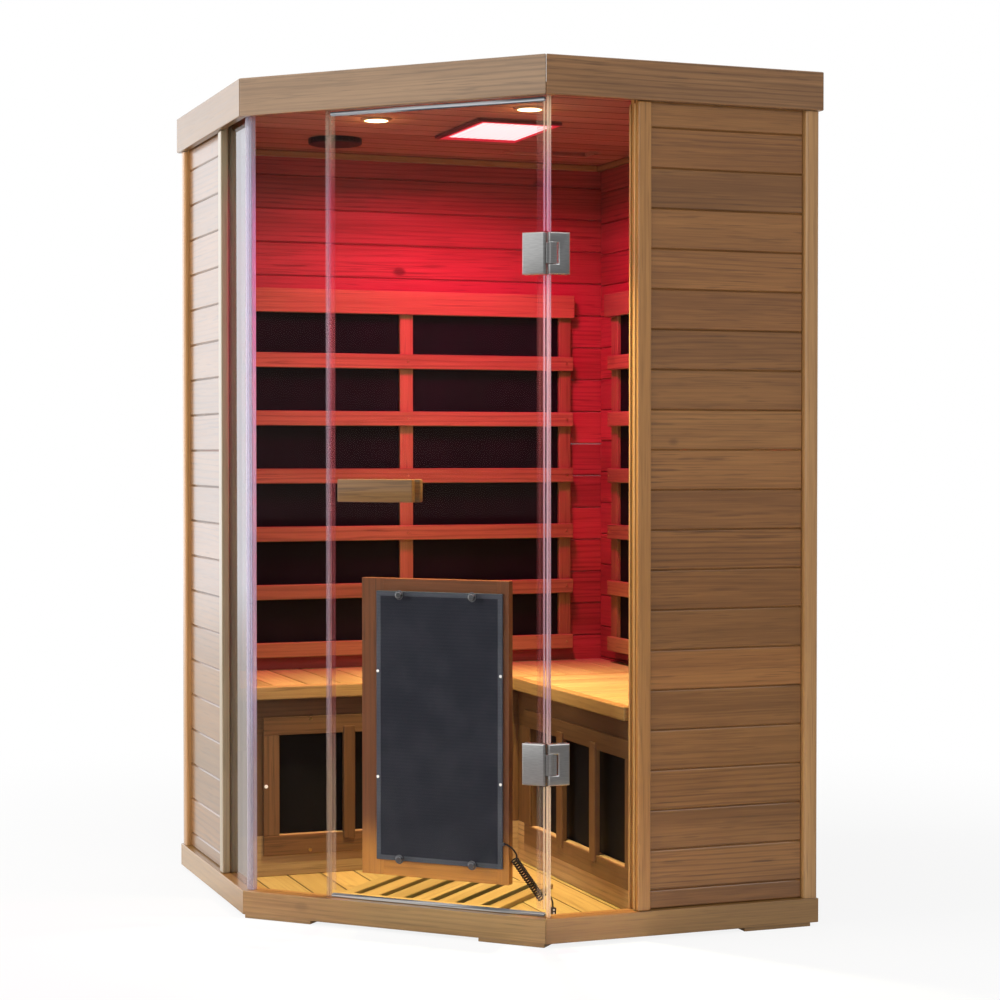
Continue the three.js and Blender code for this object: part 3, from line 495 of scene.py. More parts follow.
# Foot heater: a thin black heating sheet in the floor well, and a wooden grille over it
# that lies on the floor: slats square to the door between two rails.
def heating_sheet(name, base, spot):
    """A woven heating sheet under a matt film."""
    material, start = surface(name)
    place = start.place()
    weave = start.node("TexChecker", {}, {"Vector": place, "Scale": 260.0}, "Fac")
    dust = place.noise(14.0, 4.0)
    colour = (weave * 0.35 + dust.between(0.35, 0.75) * 0.65).blend((*base, 1), (*spot, 1))
    lay(material, {
        "Base Color": colour, "Roughness": 0.45 + 0.2 * dust, "Normal": weave.bump(0.12, 0.0003),
        "Specular IOR Level": 0.15,
    })
    return material


heater_black = heating_sheet("heater_black", (0.004, 0.0035, 0.004), (0.008, 0.007, 0.0075))


def dress(finish, *nodes):
    """Gives solids whose shape is already right their finish."""
    for node in nodes:
        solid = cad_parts[node]
        solid.data.materials.clear()
        solid.data.materials.append(finish)


dress(heater_black, "floor_heater")
GRILLE_U = (0.201, 0.604)
GRILLE_V = (0.084, 0.396)
GRILLE_Z = (0.0464, 0.0584)
GRILLE_RAIL = 0.022
FIRST_GAP = (0.233, 0.254)
GRILLE_PITCH = 0.0638
gap_edges = [edge + GRILLE_PITCH * k for k in range(6) for edge in FIRST_GAP]
slat_edges = [GRILLE_U[0]] + gap_edges + [GRILLE_U[1]]
rail_edges = (GRILLE_V[0] + GRILLE_RAIL, GRILLE_V[1] - GRILLE_RAIL)
grille = []
for near, far in zip(slat_edges[::2], slat_edges[1::2]):
    low = (near, rail_edges[0] + GAP, GRILLE_Z[0])
    grille.append(board(low, (far, rail_edges[1] - GAP, GRILLE_Z[1]), 0.002))
fix("floor_grille_slats", grille, "door", floor_wood["across_door"], stands_for=["floor_grille"])
rails = [
    board((GRILLE_U[0], low, GRILLE_Z[0]), (GRILLE_U[1], high, GRILLE_Z[1]), 0.002)
    for low, high in ((GRILLE_V[0], rail_edges[0]), (rail_edges[1], GRILLE_V[1]))
]
fix("floor_grille_rails", rails, "door", floor_wood["door"])


# Walls: tongued planks laid level from the plinth to the roof, planed on both faces,
# with a small chamfer that shows as a line at every joint.
WALL_Z = (0.0624, 1.8336)
LINING = 0.052
LEAST_PLANK = 0.02
WALLS = {
    "left": (0.0444, 0.4146, 0.022, 1.771, 0.0881),
    "front": (0.2504, 0.6246, 0.022, 1.768, 0.0876),
    "right": (0.0524, 1.1476, 0.0184, 1.76, 0.0834),
    "back": (0.0184, 1.1476, 0.0184, 1.7735, 0.0861),
}
for side, (near, far, outer, top_joint, pitch) in WALLS.items():
    joints = [top_joint - pitch * k for k in range(25)]
    levels = [WALL_Z[1]] + [z for z in joints if z > WALL_Z[0] + LEAST_PLANK] + [WALL_Z[0]]
    planks = []
    for high, low in zip(levels, levels[1:]):
        plank = blank((near, outer, low + GAP), (far, LINING, high - GAP))
        planks.append(ease(plank, 0.0028, 1))
    fix(f"wall_planks_{side}", planks, side, outer_wood[side], stands_for=[f"wall_{side}"])


# Posts and jambs: upright planed battens at the ends of the planked panels.
# The jambs are grooved for the edges of the fixed panes.
def pick_edges(piece, wanted):
    """Selects the edges whose two ends are wanted."""
    bpy.context.view_layer.objects.active = piece
    bpy.ops.object.mode_set(mode="EDIT")
    bpy.ops.mesh.select_mode(type="EDGE")
    bpy.ops.mesh.select_all(action="DESELECT")
    bpy.ops.object.mode_set(mode="OBJECT")
    corners = piece.data.vertices
    for edge in piece.data.edges:
        edge.select = wanted(*(corners[k].co for k in edge.vertices))


def bevel_picked(width, rounds):
    bpy.ops.object.mode_set(mode="EDIT")
    bpy.ops.mesh.bevel(offset=width, segments=rounds, affect="EDGES")
    bpy.ops.object.mode_set(mode="OBJECT")


def bevel_outline(piece, way):
    """Bevels the long edges round the face of a plate that looks a given way."""
    reach = max(corner.co.dot(way) for corner in piece.data.vertices) - 0.0001

    def long_on_face(near, far):
        return min(near.dot(way), far.dot(way)) > reach and (far - near).length > 0.01

    pick_edges(piece, long_on_face)
    bevel_picked(0.0025, 1)


def eased_copy(node, name, width, rounds=2, outer=None):
    """The solid itself, with its edges taken off."""
    piece = bpy.data.objects.new(name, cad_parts[node].data.copy())
    scene.collection.objects.link(piece)
    bpy.ops.object.select_all(action="DESELECT")
    piece.select_set(True)
    bpy.context.view_layer.objects.active = piece
    bpy.ops.object.mode_set(mode="EDIT")
    bpy.ops.mesh.select_all(action="SELECT")
    bpy.ops.mesh.remove_doubles(threshold=0.00001)
    bpy.ops.mesh.dissolve_limited(angle_limit=radians(1))
    bpy.ops.object.mode_set(mode="OBJECT")
    if outer:
        bevel_outline(piece, Vector(outer))
    bpy.ops.object.modifier_add(type="BEVEL")
    rounding = piece.modifiers[-1]
    rounding.width = width
    rounding.segments = rounds
    rounding.limit_method = "ANGLE"
    rounding.angle_limit = radians(30)
    bpy.ops.object.modifier_apply(modifier=rounding.name)
    return piece


post_wood = wood("post_wood", (0.62, 0.35, 0.135), (0.43, 0.226, 0.078), "z", 0.36, 0.0, 1.0, 0.5)
jamb_wood = wood("jamb_wood", (0.467, 0.225, 0.06), (0.32, 0.144, 0.036), "z", 0.36, 0.0, 1.0, 0.5)
# Painted light: the left jamb takes a paler, greyer copy of the jamb wood, lightened to make up for the shadow of the
# clear corner bead.
painted_light_jamb_wood = wood("jamb_wood_left", (0.42, 0.36, 0.24), (0.31, 0.26, 0.165), "z", 0.36, 0.0, 1.0, 0.5)
for node, finish in (("jamb_front", jamb_wood), ("jamb_left", painted_light_jamb_wood)):
    batten = eased_copy(node, node + "_batten", 0.0034, 3)
    fix(node + "_batten", [batten], "room", finish, stands_for=[node])


def round_arrises(piece, inset, radius):
    """Rounds the two upright edges on the outer face of a post."""

    def upright_in_front(near, far):
        return abs(near.z - far.z) > 0.1 and max(near.y, far.y) < inset + 0.0001

    pick_edges(piece, upright_in_front)
    bevel_picked(radius, 5)
    return piece


POST_INSET = 0.009
POST_SHOULDER = 1.8212
POSTS = {"corner_post_front": ("front", 0.625, 0.66), "corner_post_rear": ("left", 0.009, 0.044)}
for node, (side, near, far) in POSTS.items():
    shaft = blank((near, POST_INSET, WALL_Z[0]), (far, LINING, POST_SHOULDER))
    post = round_arrises(shaft, POST_INSET, 0.009)
    head = board((near, 0.0186, POST_SHOULDER + 0.0001), (far, LINING, WALL_Z[1]), 0.001)
    fix(node + "_batten", [post, head], side, post_wood, stands_for=[node])

STOP_TOP = 1.8176
stops = [
    board((0.2146, 0.045, WALL_Z[0]), (0.2182, 0.0515, STOP_TOP), 0.001),
    board((0.2152, 0.0225, WALL_Z[0]), (0.2182, 0.0276, STOP_TOP), 0.001),
]
stop_wood = wood("glazing_stop_wood", (0.55, 0.33, 0.13), (0.4, 0.23, 0.08), "z", 0.4, 0.0)
fix("front_glazing_stops", stops, "front", stop_wood)


# Fixed panes: clear toughened glass beside the door, with clear strips pushed over
# the edges at the glass corner, at the door's closing edge and at the hinge corner.
def clear_glass(name, tint, mirrored, least, rise, power):
    """See-through glass that mirrors the more, the flatter it is looked at."""
    material, start = surface(name)
    film = start.place().noise(5.0, 3.0)
    lay(material, {"Base Color": (*mirrored, 1), "Metallic": 1.0, "Roughness": 0.012 + 0.015 * film})
    clear = start.node("BsdfTransparent", {}, {"Color": (*tint, 1)})
    slant = start.node("LayerWeight", {}, {"Blend": 0.5}, "Facing")
    gloss = start.sum("POWER", slant, power) * rise + least
    gloss.mix(clear, start.skin()).show()
    return material


pane_glass = clear_glass("clear_glass", (0.985, 0.99, 0.988), (1, 1, 1), 0.0035, 0.5, 4)
side_glass = clear_glass("side_glass", (0.97, 0.98, 0.98), (0.52, 0.525, 0.57), 0.04, 1.0, 2)
dress(pane_glass, "fixed_pane", "front_sidelight")
dress(side_glass, "left_sidelight")


def clear_strip(name, tint, share, glow, ends=(0.9, 0.76, 0.56)):
    """Clear plastic strip: partly see-through, lit by what shines into it, with bright edges and painted warm light at
    its top and bottom ends.
    """
    material, start = surface(name)
    place = start.place()
    height = place.axis("Z")
    drawn = place.stretch((330, 330, 0.3)).noise(1.0, 0.0)
    brighter = tuple(min(1.0, 1.3 * c) for c in tint)
    lines = drawn.between(0.35, 0.65).blend((*tint, 1), (*brighter, 1))
    # Painted light: the top and bottom of each strip take the ends colour, standing in for lamp light near the ceiling
    # and light from the lit floor.
    painted_lit_ends = height.between(1.62, 1.8) + (1 - height.between(0.3, 0.55))
    colour = painted_lit_ends.blend(lines, (*ends, 1))
    lay(material, {"Base Color": colour, "Roughness": 0.12 + 0.1 * drawn, "Coat Weight": 0.3 + 0.3 * drawn})
    through = start.node("BsdfTransparent", {}, {"Color": (0.97, 0.95, 0.96, 1)})
    lit = start.node("BsdfTranslucent", {}, {"Color": colour})
    plastic = start.node("MixShader", {}, {0: glow, 1: start.skin(), 2: lit})
    edge = start.node("LayerWeight", {}, {"Blend": 0.4}, "Facing")
    cover = share + 0.5 * edge + 0.3 * (drawn - 0.5)
    cover.mix(through, plastic).show()
    return material


BEADS = {
    "corner_seal": clear_strip("clear_corner", (0.42, 0.4, 0.56), 0.3, 0.12, (0.42, 0.4, 0.5)),
    "hinge_seal_bottom": clear_strip("clear_bead", (0.46, 0.35, 0.43), 0.34, 0.4),
}
BEADS["hinge_seal_middle"] = BEADS["hinge_seal_top"] = BEADS["hinge_seal_bottom"]
for node, finish in BEADS.items():
    bead = eased_copy(node, node + "_bead", 0.0014, 3)
    fix(node + "_bead", [bead], "room", finish, stands_for=[node])
strike_clear = clear_strip("clear_strike", (0.4, 0.31, 0.37), 0.16, 0.2, (0.5, 0.4, 0.3))
strip_clear = clear_strip("clear_strip", (0.38, 0.13, 0.15), 0.03, 0.5)
strike = eased_copy("strike_seal", "strike_seal_clip", 0.0009, 2)
fix("strike_seal_clip", [strike], "room", strike_clear, stands_for=["strike_seal"])


# Roof: fascia boards on edge round the top, mitred at the corners, and a ceiling of
# narrow boards that run from side to side, with a cover strip along the walls.
FASCIA_INSET = (0, 0.018)
FASCIA_Z = (1.822, 1.908)
FASCIAS = {
    "left": ((0.28, 0.162, 0.058), (0.183, 0.1, 0.034), 0.68, 0.5),
    "door": ((0.3, 0.18, 0.088), (0.2, 0.114, 0.051), 1.0, 0.7),
    "front": ((0.31, 0.157, 0.058), (0.185, 0.086, 0.029), 1.0, 0.7),
}
fascia_wood = {
    side: wood("fascia_wood_" + side, pale, dark, SIDE_GRAIN[side], 0.36, 0.4, lacquer, figured)
    for side, (pale, dark, lacquer, figured) in FASCIAS.items()
}
for side in FASCIAS:
    fascia = side_board(side, FASCIA_INSET, FASCIA_Z, 0.002)
    fix(f"fascia_board_{side}", [fascia], side, fascia_wood[side], stands_for=[f"fascia_{side}"])
for side, like in (("right", "left"), ("back", "front")):
    rear = side_board(side, FASCIA_INSET, FASCIA_Z, 0.002)
    fix(f"fascia_board_{side}", [rear], side, fascia_wood[like])
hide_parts("fascia_rear")

CEILING_Z = (1.834, 1.852)
CEILING_EDGE = 0.5816
CEILING_CUT = 0.0184 * sqrt(2) - 0.665
CEILING_COUNT = 14
ceiling_wood = wood("ceiling_wood", (0.43, 0.19, 0.135), (0.28, 0.116, 0.075), "x", 0.5, 0.5, seam=0.75)
ceiling_pitch = 2 * CEILING_EDGE / CEILING_COUNT
ceiling_boards = []
for k in range(CEILING_COUNT):
    near = -CEILING_EDGE + k * ceiling_pitch
    low = (-CEILING_EDGE, near + GAP, CEILING_Z[0])
    high = (CEILING_EDGE, near + ceiling_pitch - GAP, CEILING_Z[1])
    ceiling_boards.append(ease(cut_corner(blank(low, high), low, CEILING_CUT), 0.0034, 1))
VENT_CUTS = (
    ((0.204, 0.272, 1.838), (0.44, 0.4, 1.846)),
    ((0.204, 0.28, 1.83), (0.44, 0.392, 1.84)),
    ((0.214, 0.29, 1.844), (0.314, 0.382, 1.856)),
)
for piece in ceiling_boards:
    for low, high in VENT_CUTS:
        hollow(piece, low, high)
fix("ceiling_boards", ceiling_boards, "room", ceiling_wood, stands_for=["ceiling_panel"])

CORNICE_Z = (1.818, 1.8336)
CORNICES = {
    "back": (0.0666, 1.1476), "right": (0.0524, 1.1476), "left": (0.0524, 0.4146), "front": (0.2504, 0.6),
}
cornice_wood = {
    grain: wood("inner_wood_" + grain, (0.36, 0.195, 0.068), (0.21, 0.105, 0.034), grain, 0.42)
    for grain in ("x", "y")
}
for side, (near, far) in CORNICES.items():
    strip = board((near, 0.0523, CORNICE_Z[0]), (far, 0.066, CORNICE_Z[1]), 0.003)
    fix(f"cornice_{side}", [strip], side, cornice_wood[SIDE_GRAIN[side]])

slider = [
    board((0.206, 0.2725, 1.8384), (0.326, 0.3995, 1.8456), 0.001),
    board((0.302, 0.302, 1.8345), (0.312, 0.37, 1.8386), 0.001),
]
fix("vent_slide_board", slider, "room", ceiling_wood, "vent", ["vent_slider"])


# Control box on the roof: a black moulded case with a screwed lid and a cable gland
# in its rear face, where the supply comes in.
def moulded(name, base, rough, grain=420.0):
    """Moulded plastic with a fine spark-eroded texture."""
    material, start = surface(name)
    place = start.place()
    haze = place.noise(9.0)
    paler = tuple(min(1.0, 1.35 * c + 0.004) for c in base)
    colour = haze.between(0.3, 0.75).blend((*base, 1), (*paler, 1))
    bump = place.noise(grain).bump(0.15, 0.0004)
    lay(material, {"Base Color": colour, "Roughness": rough + 0.12 * haze, "Normal": bump})
    return material


def metal(name, base, rough, brush):
    """Metal with the fine lines of its last polishing."""
    material, start = surface(name)
    place = start.place()
    lines = place.stretch(brush).noise(1.0, 3.0)
    smear = place.noise(24.0, 3.0)
    colour = lines.between(0.3, 0.7).blend((*toned(base, 0.86), 1), (*base, 1))
    lay(material, {
        "Base Color": colour, "Metallic": 1.0, "Roughness": rough + 0.14 * smear, "Normal": lines.bump(0.06, 0.0002),
    })
    return material


def disc(place, radius, low, high, upright=True, ease_by=0.0008, sides=32):
    """A turned disc with its rims broken, upright or lying towards the door side's outside."""
    bpy.ops.object.select_all(action="DESELECT")
    half = (low + high) / 2
    bpy.ops.mesh.primitive_cylinder_add(
        vertices=sides, radius=radius, depth=high - low,
        location=(*place, half) if upright else (place[0], half, place[1]),
        rotation=(0 if upright else radians(90), 0, 0),
    )
    piece = bpy.context.object
    bpy.ops.object.transform_apply()
    bpy.ops.object.modifier_add(type="BEVEL")
    rim = piece.modifiers[-1]
    rim.width = ease_by
    rim.segments = 2
    rim.limit_method = "ANGLE"
    rim.angle_limit = radians(60)
    bpy.ops.object.modifier_apply(modifier=rim.name)
    return piece


black_plastic = moulded("black_plastic", (0.014, 0.014, 0.015), 0.42)
chrome = metal("chrome", (0.42, 0.43, 0.45), 0.1, (40, 40, 40))
screw_brass = metal("screw_brass", (0.62, 0.46, 0.22), 0.3, (80, 80, 80))
CASE_X = (-0.33, -0.05)
CASE_Y = (0.3, 0.48)
SCREW_INSET = 0.012
case = board((CASE_X[0], CASE_Y[0], 1.8524), (CASE_X[1], CASE_Y[1], 1.886), 0.003)
lid = board((CASE_X[0], CASE_Y[0], 1.8864), (CASE_X[1], CASE_Y[1], 1.8928), 0.0022)
gland = disc((-0.26, 1.872), 0.009, 0.478, 0.496, upright=False, ease_by=0.0012)
fix("control_case", [case, lid, gland], "room", black_plastic, stands_for=["control_box"])
lid_screws = [
    disc((x, y), 0.004, 1.8922, 1.8939)
    for x in (CASE_X[0] + SCREW_INSET, CASE_X[1] - SCREW_INSET)
    for y in (CASE_Y[0] + SCREW_INSET, CASE_Y[1] - SCREW_INSET)
]
fix("control_lid_screws", lid_screws, "room", chrome)


# Ceiling fittings: two warm spot lamps in turned rings, a colour lamp panel with rows
# of small red lamps behind a frosted lens, a black loudspeaker and a small sensor.
def spot_lamp(name, middle):
    """A lit lens in a turned brass ring."""
    material, start = surface(name)
    place = start.place()
    reach = {0: place.stretch((1, 1, 0)), 1: (*middle, 0)}
    apart = start.node("VectorMath", {"operation": "DISTANCE"}, reach, "Value")
    lens = 1 - apart.between(0.0265, 0.0285)
    hot = 1 - apart.between(0.002, 0.034)
    glow = hot.blend((1.0, 0.72, 0.32, 1), (1.0, 0.95, 0.75, 1))
    ring = place.noise(300.0).blend((0.55, 0.42, 0.24, 1), (0.7, 0.56, 0.36, 1))
    lay(material, {
        "Base Color": lens.blend(ring, (0.9, 0.85, 0.75, 1)), "Metallic": 0.8 - 0.8 * lens, "Roughness": 0.3,
        "Emission Color": lens.blend((0, 0, 0, 1), glow), "Emission Strength": 3.0,
    })
    return material


SPOTS = {
    "downlight_left": ((-0.273, -0.056), (-0.273, -0.09), 74, 62),
    "downlight_right": ((0.0, -0.335), (0.17, -0.335), 196, 74),
}
for node, (middle, aim, power, cone) in SPOTS.items():
    dress(spot_lamp("warm_lens_" + node, middle), node)
    beam = lamp("SPOT", node + "_beam", (*middle, 1.826), (*aim, 0.0), power, (1.0, 0.98, 0.55), 0.02)
    beam.data.spot_size = radians(cone)
    beam.data.spot_blend = 0.8
    lamp("POINT", node + "_spill", (*middle, 1.8), (*middle, 0.0), 0.25, (1.0, 0.78, 0.34), 0.015)

panel_frame = board((-0.06, -0.16, 1.8262), (0.15, 0.15, 1.8334), 0.0012)
white_plastic = moulded("white_plastic", (0.62, 0.6, 0.58), 0.4)
lamp_brown = moulded("lamp_brown", (0.1, 0.022, 0.02), 0.45)
fix("colour_lamp_frame", [panel_frame], "room", lamp_brown, stands_for=["colour_light"])

lens_red, lens = surface("red_lens")
lens_place = lens.place()
lens_x = lens_place.axis("X")
lens_y = lens_place.axis("Y")
lens_field = lens_x.between(-0.044, -0.04) * (1 - lens_x.between(0.129, 0.133))
lens_field = lens_field * lens_y.between(-0.148, -0.144) * (1 - lens_y.between(0.099, 0.104))


def grid(place, scale):
    """How far a point is from the nearest one of a square grid."""
    even = {"Vector": place.stretch((1, 1, 0)), "Scale": scale, "Randomness": 0.0}
    return place.node("TexVoronoi", {}, even, "Distance")


diode = 1 - grid(lens_place, 62.0).between(0.2, 0.5)
diode_glow = diode.blend((1.0, 0.42, 0.47, 1), (1.0, 0.97, 0.97, 1))
lens_glow = lens_field.blend((0.34, 0.006, 0.022, 1), diode_glow)
lay(lens_red, {
    "Base Color": lens_field.blend((0.5, 0.05, 0.06, 1), (0.9, 0.5, 0.5, 1)), "Roughness": 0.35 + 0.1 * diode,
    "Emission Color": lens_glow, "Emission Strength": 1.2,
})
lens_plate = board((-0.0475, -0.154, 1.8248), (0.146, 0.146, 1.8264), 0.0005)
fix("colour_lamp_lens", [lens_plate], "room", lens_red)
GLOW_MIDDLE = (0.045, -0.02)
GLOW_RED = (1.0, 0.001, 0.26)
glow = lamp("AREA", "colour_lamp_glow", (*GLOW_MIDDLE, 1.823), (*GLOW_MIDDLE, 0), 22.5, GLOW_RED, (0.17, 0.24))
glow.data.spread = radians(165)

speaker_black, mesh = surface("speaker_black")
hole = 1 - grid(mesh.place(), 260.0).between(0.25, 0.42)
lay(speaker_black, {
    "Base Color": hole.blend((0.02, 0.02, 0.021, 1), (0.002, 0.002, 0.002, 1)),
    "Roughness": 0.45 + 0.3 * hole, "Normal": (1 - hole).bump(0.5, 0.0008),
})
dress(speaker_black, "speaker")
dress(white_plastic, "temperature_sensor")


# Keypad: a small black touch panel on the lining of the front panel, with a glossy
# display field and two rows of round keys.
keypad_case = board((0.3, -0.5476, 1.25), (0.4, -0.542, 1.33), 0.0022)
fix("keypad_case", [keypad_case], "room", black_plastic, stands_for=["keypad"])
screen_black = moulded("screen_black", (0.006, 0.008, 0.012), 0.08, 30.0)
screen = board((0.31, -0.5422, 1.288), (0.39, -0.5413, 1.322), 0.0003)
fix("keypad_screen", [screen], "room", screen_black)
key_grey = moulded("key_grey", (0.22, 0.22, 0.23), 0.5)
keys = [
    disc((0.318 + 0.016 * k, z), 0.0048, -0.5422, -0.5411, upright=False, ease_by=0.0003)
    for k in range(5) for z in (1.262, 1.276)
]
fix("keypad_keys", keys, "room", key_grey)


# Wall heaters: wide black heating sheets on the lining, behind guards of level slats
# that are screwed to three upright battens, with a wider rail on top.
dress(heater_black, "back_heater", "right_heater")
guard_wood = {
    grain: wood("guard_wood_" + grain, (0.35, 0.19, 0.072), (0.22, 0.108, 0.037), grain, 0.42, 0.3)
    for grain in ("x", "y", "z")
}
GUARDS = {
    "back": ((0.142, 1.058), (0.146, 1.054), ((0.147, 0.181), (0.592, 0.628), (1.012, 1.052))),
    "right": ((0.144, 1.041), (0.148, 1.018), ((0.16, 0.203), (0.56, 0.6), (0.988, 1.028))),
}
for side, (rail, slat, stiles) in GUARDS.items():
    bars = [board((rail[0], 0.0722, 1.42), (rail[1], 0.088, 1.481), 0.0022)]
    for k in range(6):
        foot = 0.5365 + 0.1485 * k
        bars.append(board((slat[0], 0.0722, foot), (slat[1], 0.088, foot + 0.038), 0.0022))
    fix(f"{side}_guard_slats", bars, side, guard_wood[SIDE_GRAIN[side]], stands_for=[f"{side}_guard"])
    uprights = [board((a, 0.0608, 0.5405), (b, 0.072, 1.44), 0.0015) for a, b in stiles]
    fix(f"{side}_guard_battens", uprights, side, guard_wood["z"])
    heads = [
        disc(((a + b) / 2, 0.5555 + 0.1485 * k), 0.0026, 0.0876, 0.089, upright=False, ease_by=0.0004, sides=12)
        for a, b in stiles for k in range(6)
    ]
    fix(f"{side}_guard_screws", heads, side, screw_brass)


# Bench: two seats of planed boards laid from wall to edge, each closed in front by a
# long edge board. Framed fronts below hold upright bars before a heating sheet.
dress(heater_black, "back_bench_heater", "right_bench_heater")
SEAT_Z = (0.472, 0.504)
SEATS = {"back": (0.0524, 1.1476, 13, "y"), "right": (0.06, 0.7426, 8, "x")}
seat_wood = {
    grain: wood("seat_wood_" + grain, (0.45, 0.34, 0.13), (0.31, 0.22, 0.074), grain, 0.42, 0.5, 0.0, 0.5)
    for grain in ("x", "y")
}
edge_wood = {
    grain: wood("edge_wood_" + grain, (0.36, 0.22, 0.075), (0.24, 0.135, 0.042), grain, 0.42, 0.3)
    for grain in ("x", "y")
}
for side, (near, far, count, grain) in SEATS.items():
    pitch = (far - near) / count
    planks = [
        board((near + pitch * k + 0.001, 0.0524, SEAT_Z[0]), (near + pitch * (k + 1) - 0.001, 0.4346, SEAT_Z[1]), 0.003)
        for k in range(count)
    ]
    fix(f"{side}_seat_boards", planks, side, seat_wood[grain], stands_for=[f"{side}_bench_seat"])
    edge = board((near, 0.435, SEAT_Z[0]), (far, 0.457, SEAT_Z[1]), 0.003)
    fix(f"{side}_seat_edge", [edge], side, edge_wood[SIDE_GRAIN[side]])

BENCH_D = (0.419, 0.437)
BENCH_Z = (0.0464, 0.4716)
WINDOW_Z = (0.144, 0.385)
MOULD_Z = (0.096, 0.428)
FRONTS = {
    "back": ((0.419, 1.1472), (0.517, 1.051), (0.478, 1.09), ((0.676, 0.705), (0.863, 0.892))),
    "right": ((0.06, 0.7626), (0.089, 0.668), (0.06, 0.707), ((0.25, 0.284), (0.449, 0.486))),
}
# Painted shade: the framed bench fronts take a much darker copy of the bench wood, standing in for the shadow under the
# seat edge.
shaded_bench_wood = {
    grain: wood("bench_wood_" + grain, (0.158, 0.076, 0.03), (0.097, 0.044, 0.016), grain, 0.42, 0.5)
    for grain in ("x", "y", "z")
}
# Painted light: the base boards take a much paler copy, standing in for the spot light that falls on them.
lit_base_wood = {
    grain: wood("base_wood_" + grain, (0.48, 0.3, 0.14), (0.33, 0.19, 0.08), grain, 0.42, 0.3)
    for grain in ("x", "y")
}
for side, (run, window, mould, bars) in FRONTS.items():
    grain = SIDE_GRAIN[side]
    base = board((run[0], BENCH_D[0], BENCH_Z[0]), (run[1], BENCH_D[1], WINDOW_Z[0]), 0.0012)
    fix(f"{side}_bench_base", [base], side, lit_base_wood[grain], stands_for=[f"{side}_bench_front"])
    rail = board((run[0], BENCH_D[0], WINDOW_Z[1]), (run[1], BENCH_D[1], BENCH_Z[1]), 0.0012)
    fix(f"{side}_bench_rail", [rail], side, shaded_bench_wood[grain])
    ends = [
        board((run[0], BENCH_D[0], WINDOW_Z[0]), (window[0], BENCH_D[1], WINDOW_Z[1]), 0.0012),
        board((window[1], BENCH_D[0], WINDOW_Z[0]), (run[1], BENCH_D[1], WINDOW_Z[1]), 0.0012),
    ]
    fix(f"{side}_bench_ends", ends, side, shaded_bench_wood["z"])
    front = (0.437, 0.443)
    levels = [
        board((mould[0], front[0], MOULD_Z[0]), (mould[1], front[1], WINDOW_Z[0]), 0.0016),
        board((mould[0], front[0], WINDOW_Z[1]), (mould[1], front[1], MOULD_Z[1]), 0.0016),
    ]
    fix(f"{side}_bench_mould_rails", levels, side, shaded_bench_wood[grain])
    uprights = [
        board((mould[0], front[0], WINDOW_Z[0]), (window[0], front[1], WINDOW_Z[1]), 0.0016),
        board((window[1], front[0], WINDOW_Z[0]), (mould[1], front[1], WINDOW_Z[1]), 0.0016),
    ]
    uprights += [board((a, 0.4332, 0.128), (b, 0.447, 0.401), 0.0022) for a, b in bars]
    fix(f"{side}_bench_bars", uprights, side, shaded_bench_wood["z"])
screw_zinc = moulded("screw_zinc", (0.7, 0.7, 0.68), 0.3)
FRONT_SCREWS = {
    "zinc": (screw_zinc, [(1.0838, 0.2632)]),
    "brass": (screw_brass, [(0.9753, 0.1054), (0.9724, 0.4226)]),
}
for kind, (finish, places) in FRONT_SCREWS.items():
    heads = [disc(place, 0.0045, 0.4426, 0.4442, upright=False, ease_by=0.0006, sides=16) for place in places]
    fix(f"back_bench_screws_{kind}", heads, "back", finish)


# Door: one clear toughened pane with ground edges, drilled for its fittings, with clear
# channels pushed on its top and bottom edges.
dress(pane_glass, "door_glass")
channel_clear, channel = surface("clear_channel")
channel_place = channel.node("TexCoord", {}, {}, "Object")
# Painted highlights: dark and bright bands along the channels stand in for the reflections seen in the clear plastic.
painted_glint_bands = channel.node("TexNoise", {}, {"Vector": channel_place.stretch((4, 4, 380)), "Scale": 1.0, "Detail": 1.0})
lay(channel_clear, {
    "Base Color": painted_glint_bands.between(0.38, 0.62).blend((0.14, 0.16, 0.19, 1), (0.85, 0.9, 0.95, 1)),
    "Metallic": 0.55 + 0.2 * painted_glint_bands, "Roughness": 0.16 + 0.1 * painted_glint_bands,
})
for node in ("door_top_strip", "door_sweep"):
    strip = eased_copy(node, node + "_channel", 0.0016, 3)
    fix(node + "_channel", [strip], "room", channel_clear, "door", [node])
EDGE_RUNS = ((0.0785, 0.343), (0.437, 1.441), (1.535, 1.8115))
edge_strips = [board((0.0142, 0.0053, low), (0.0295, 0.0066, high), 0.0005) for low, high in EDGE_RUNS]
fix("door_edge_strips", edge_strips, "leaf", strip_clear, "door")
closing_strip = board((0.5215, 0.0053, 0.0785), (0.5335, 0.0066, 1.8115), 0.0005)
fix("door_closing_strip", [closing_strip], "leaf", strip_clear, "door")
edge_lips = [board((0.0098, 0.0053, low), (0.0141, 0.0072, high), 0.0007) for low, high in EDGE_RUNS]
fix("door_edge_lips", edge_lips, "leaf", BEADS["hinge_seal_top"], "door")


# Hinges: cast glass-to-glass hinges with bevelled satin plates on both faces of the
# glass; the door half turns on a pin held by the fixed half.
satin = metal("hinge_metal", (0.93, 0.93, 0.92), 0.3, (60, 60, 900))
for height in ("top", "bottom"):
    for half, body, outer in (("fixed", "cabin", (0, -1, 0)), ("door", "door", (-sqrt(0.5), -sqrt(0.5), 0))):
        node = f"{height}_hinge_{half}_leaf"
        plate = eased_copy(node, node + "_plate", 0.0007, outer=outer)
        fix(node + "_plate", [plate], "room", satin, body, [node])


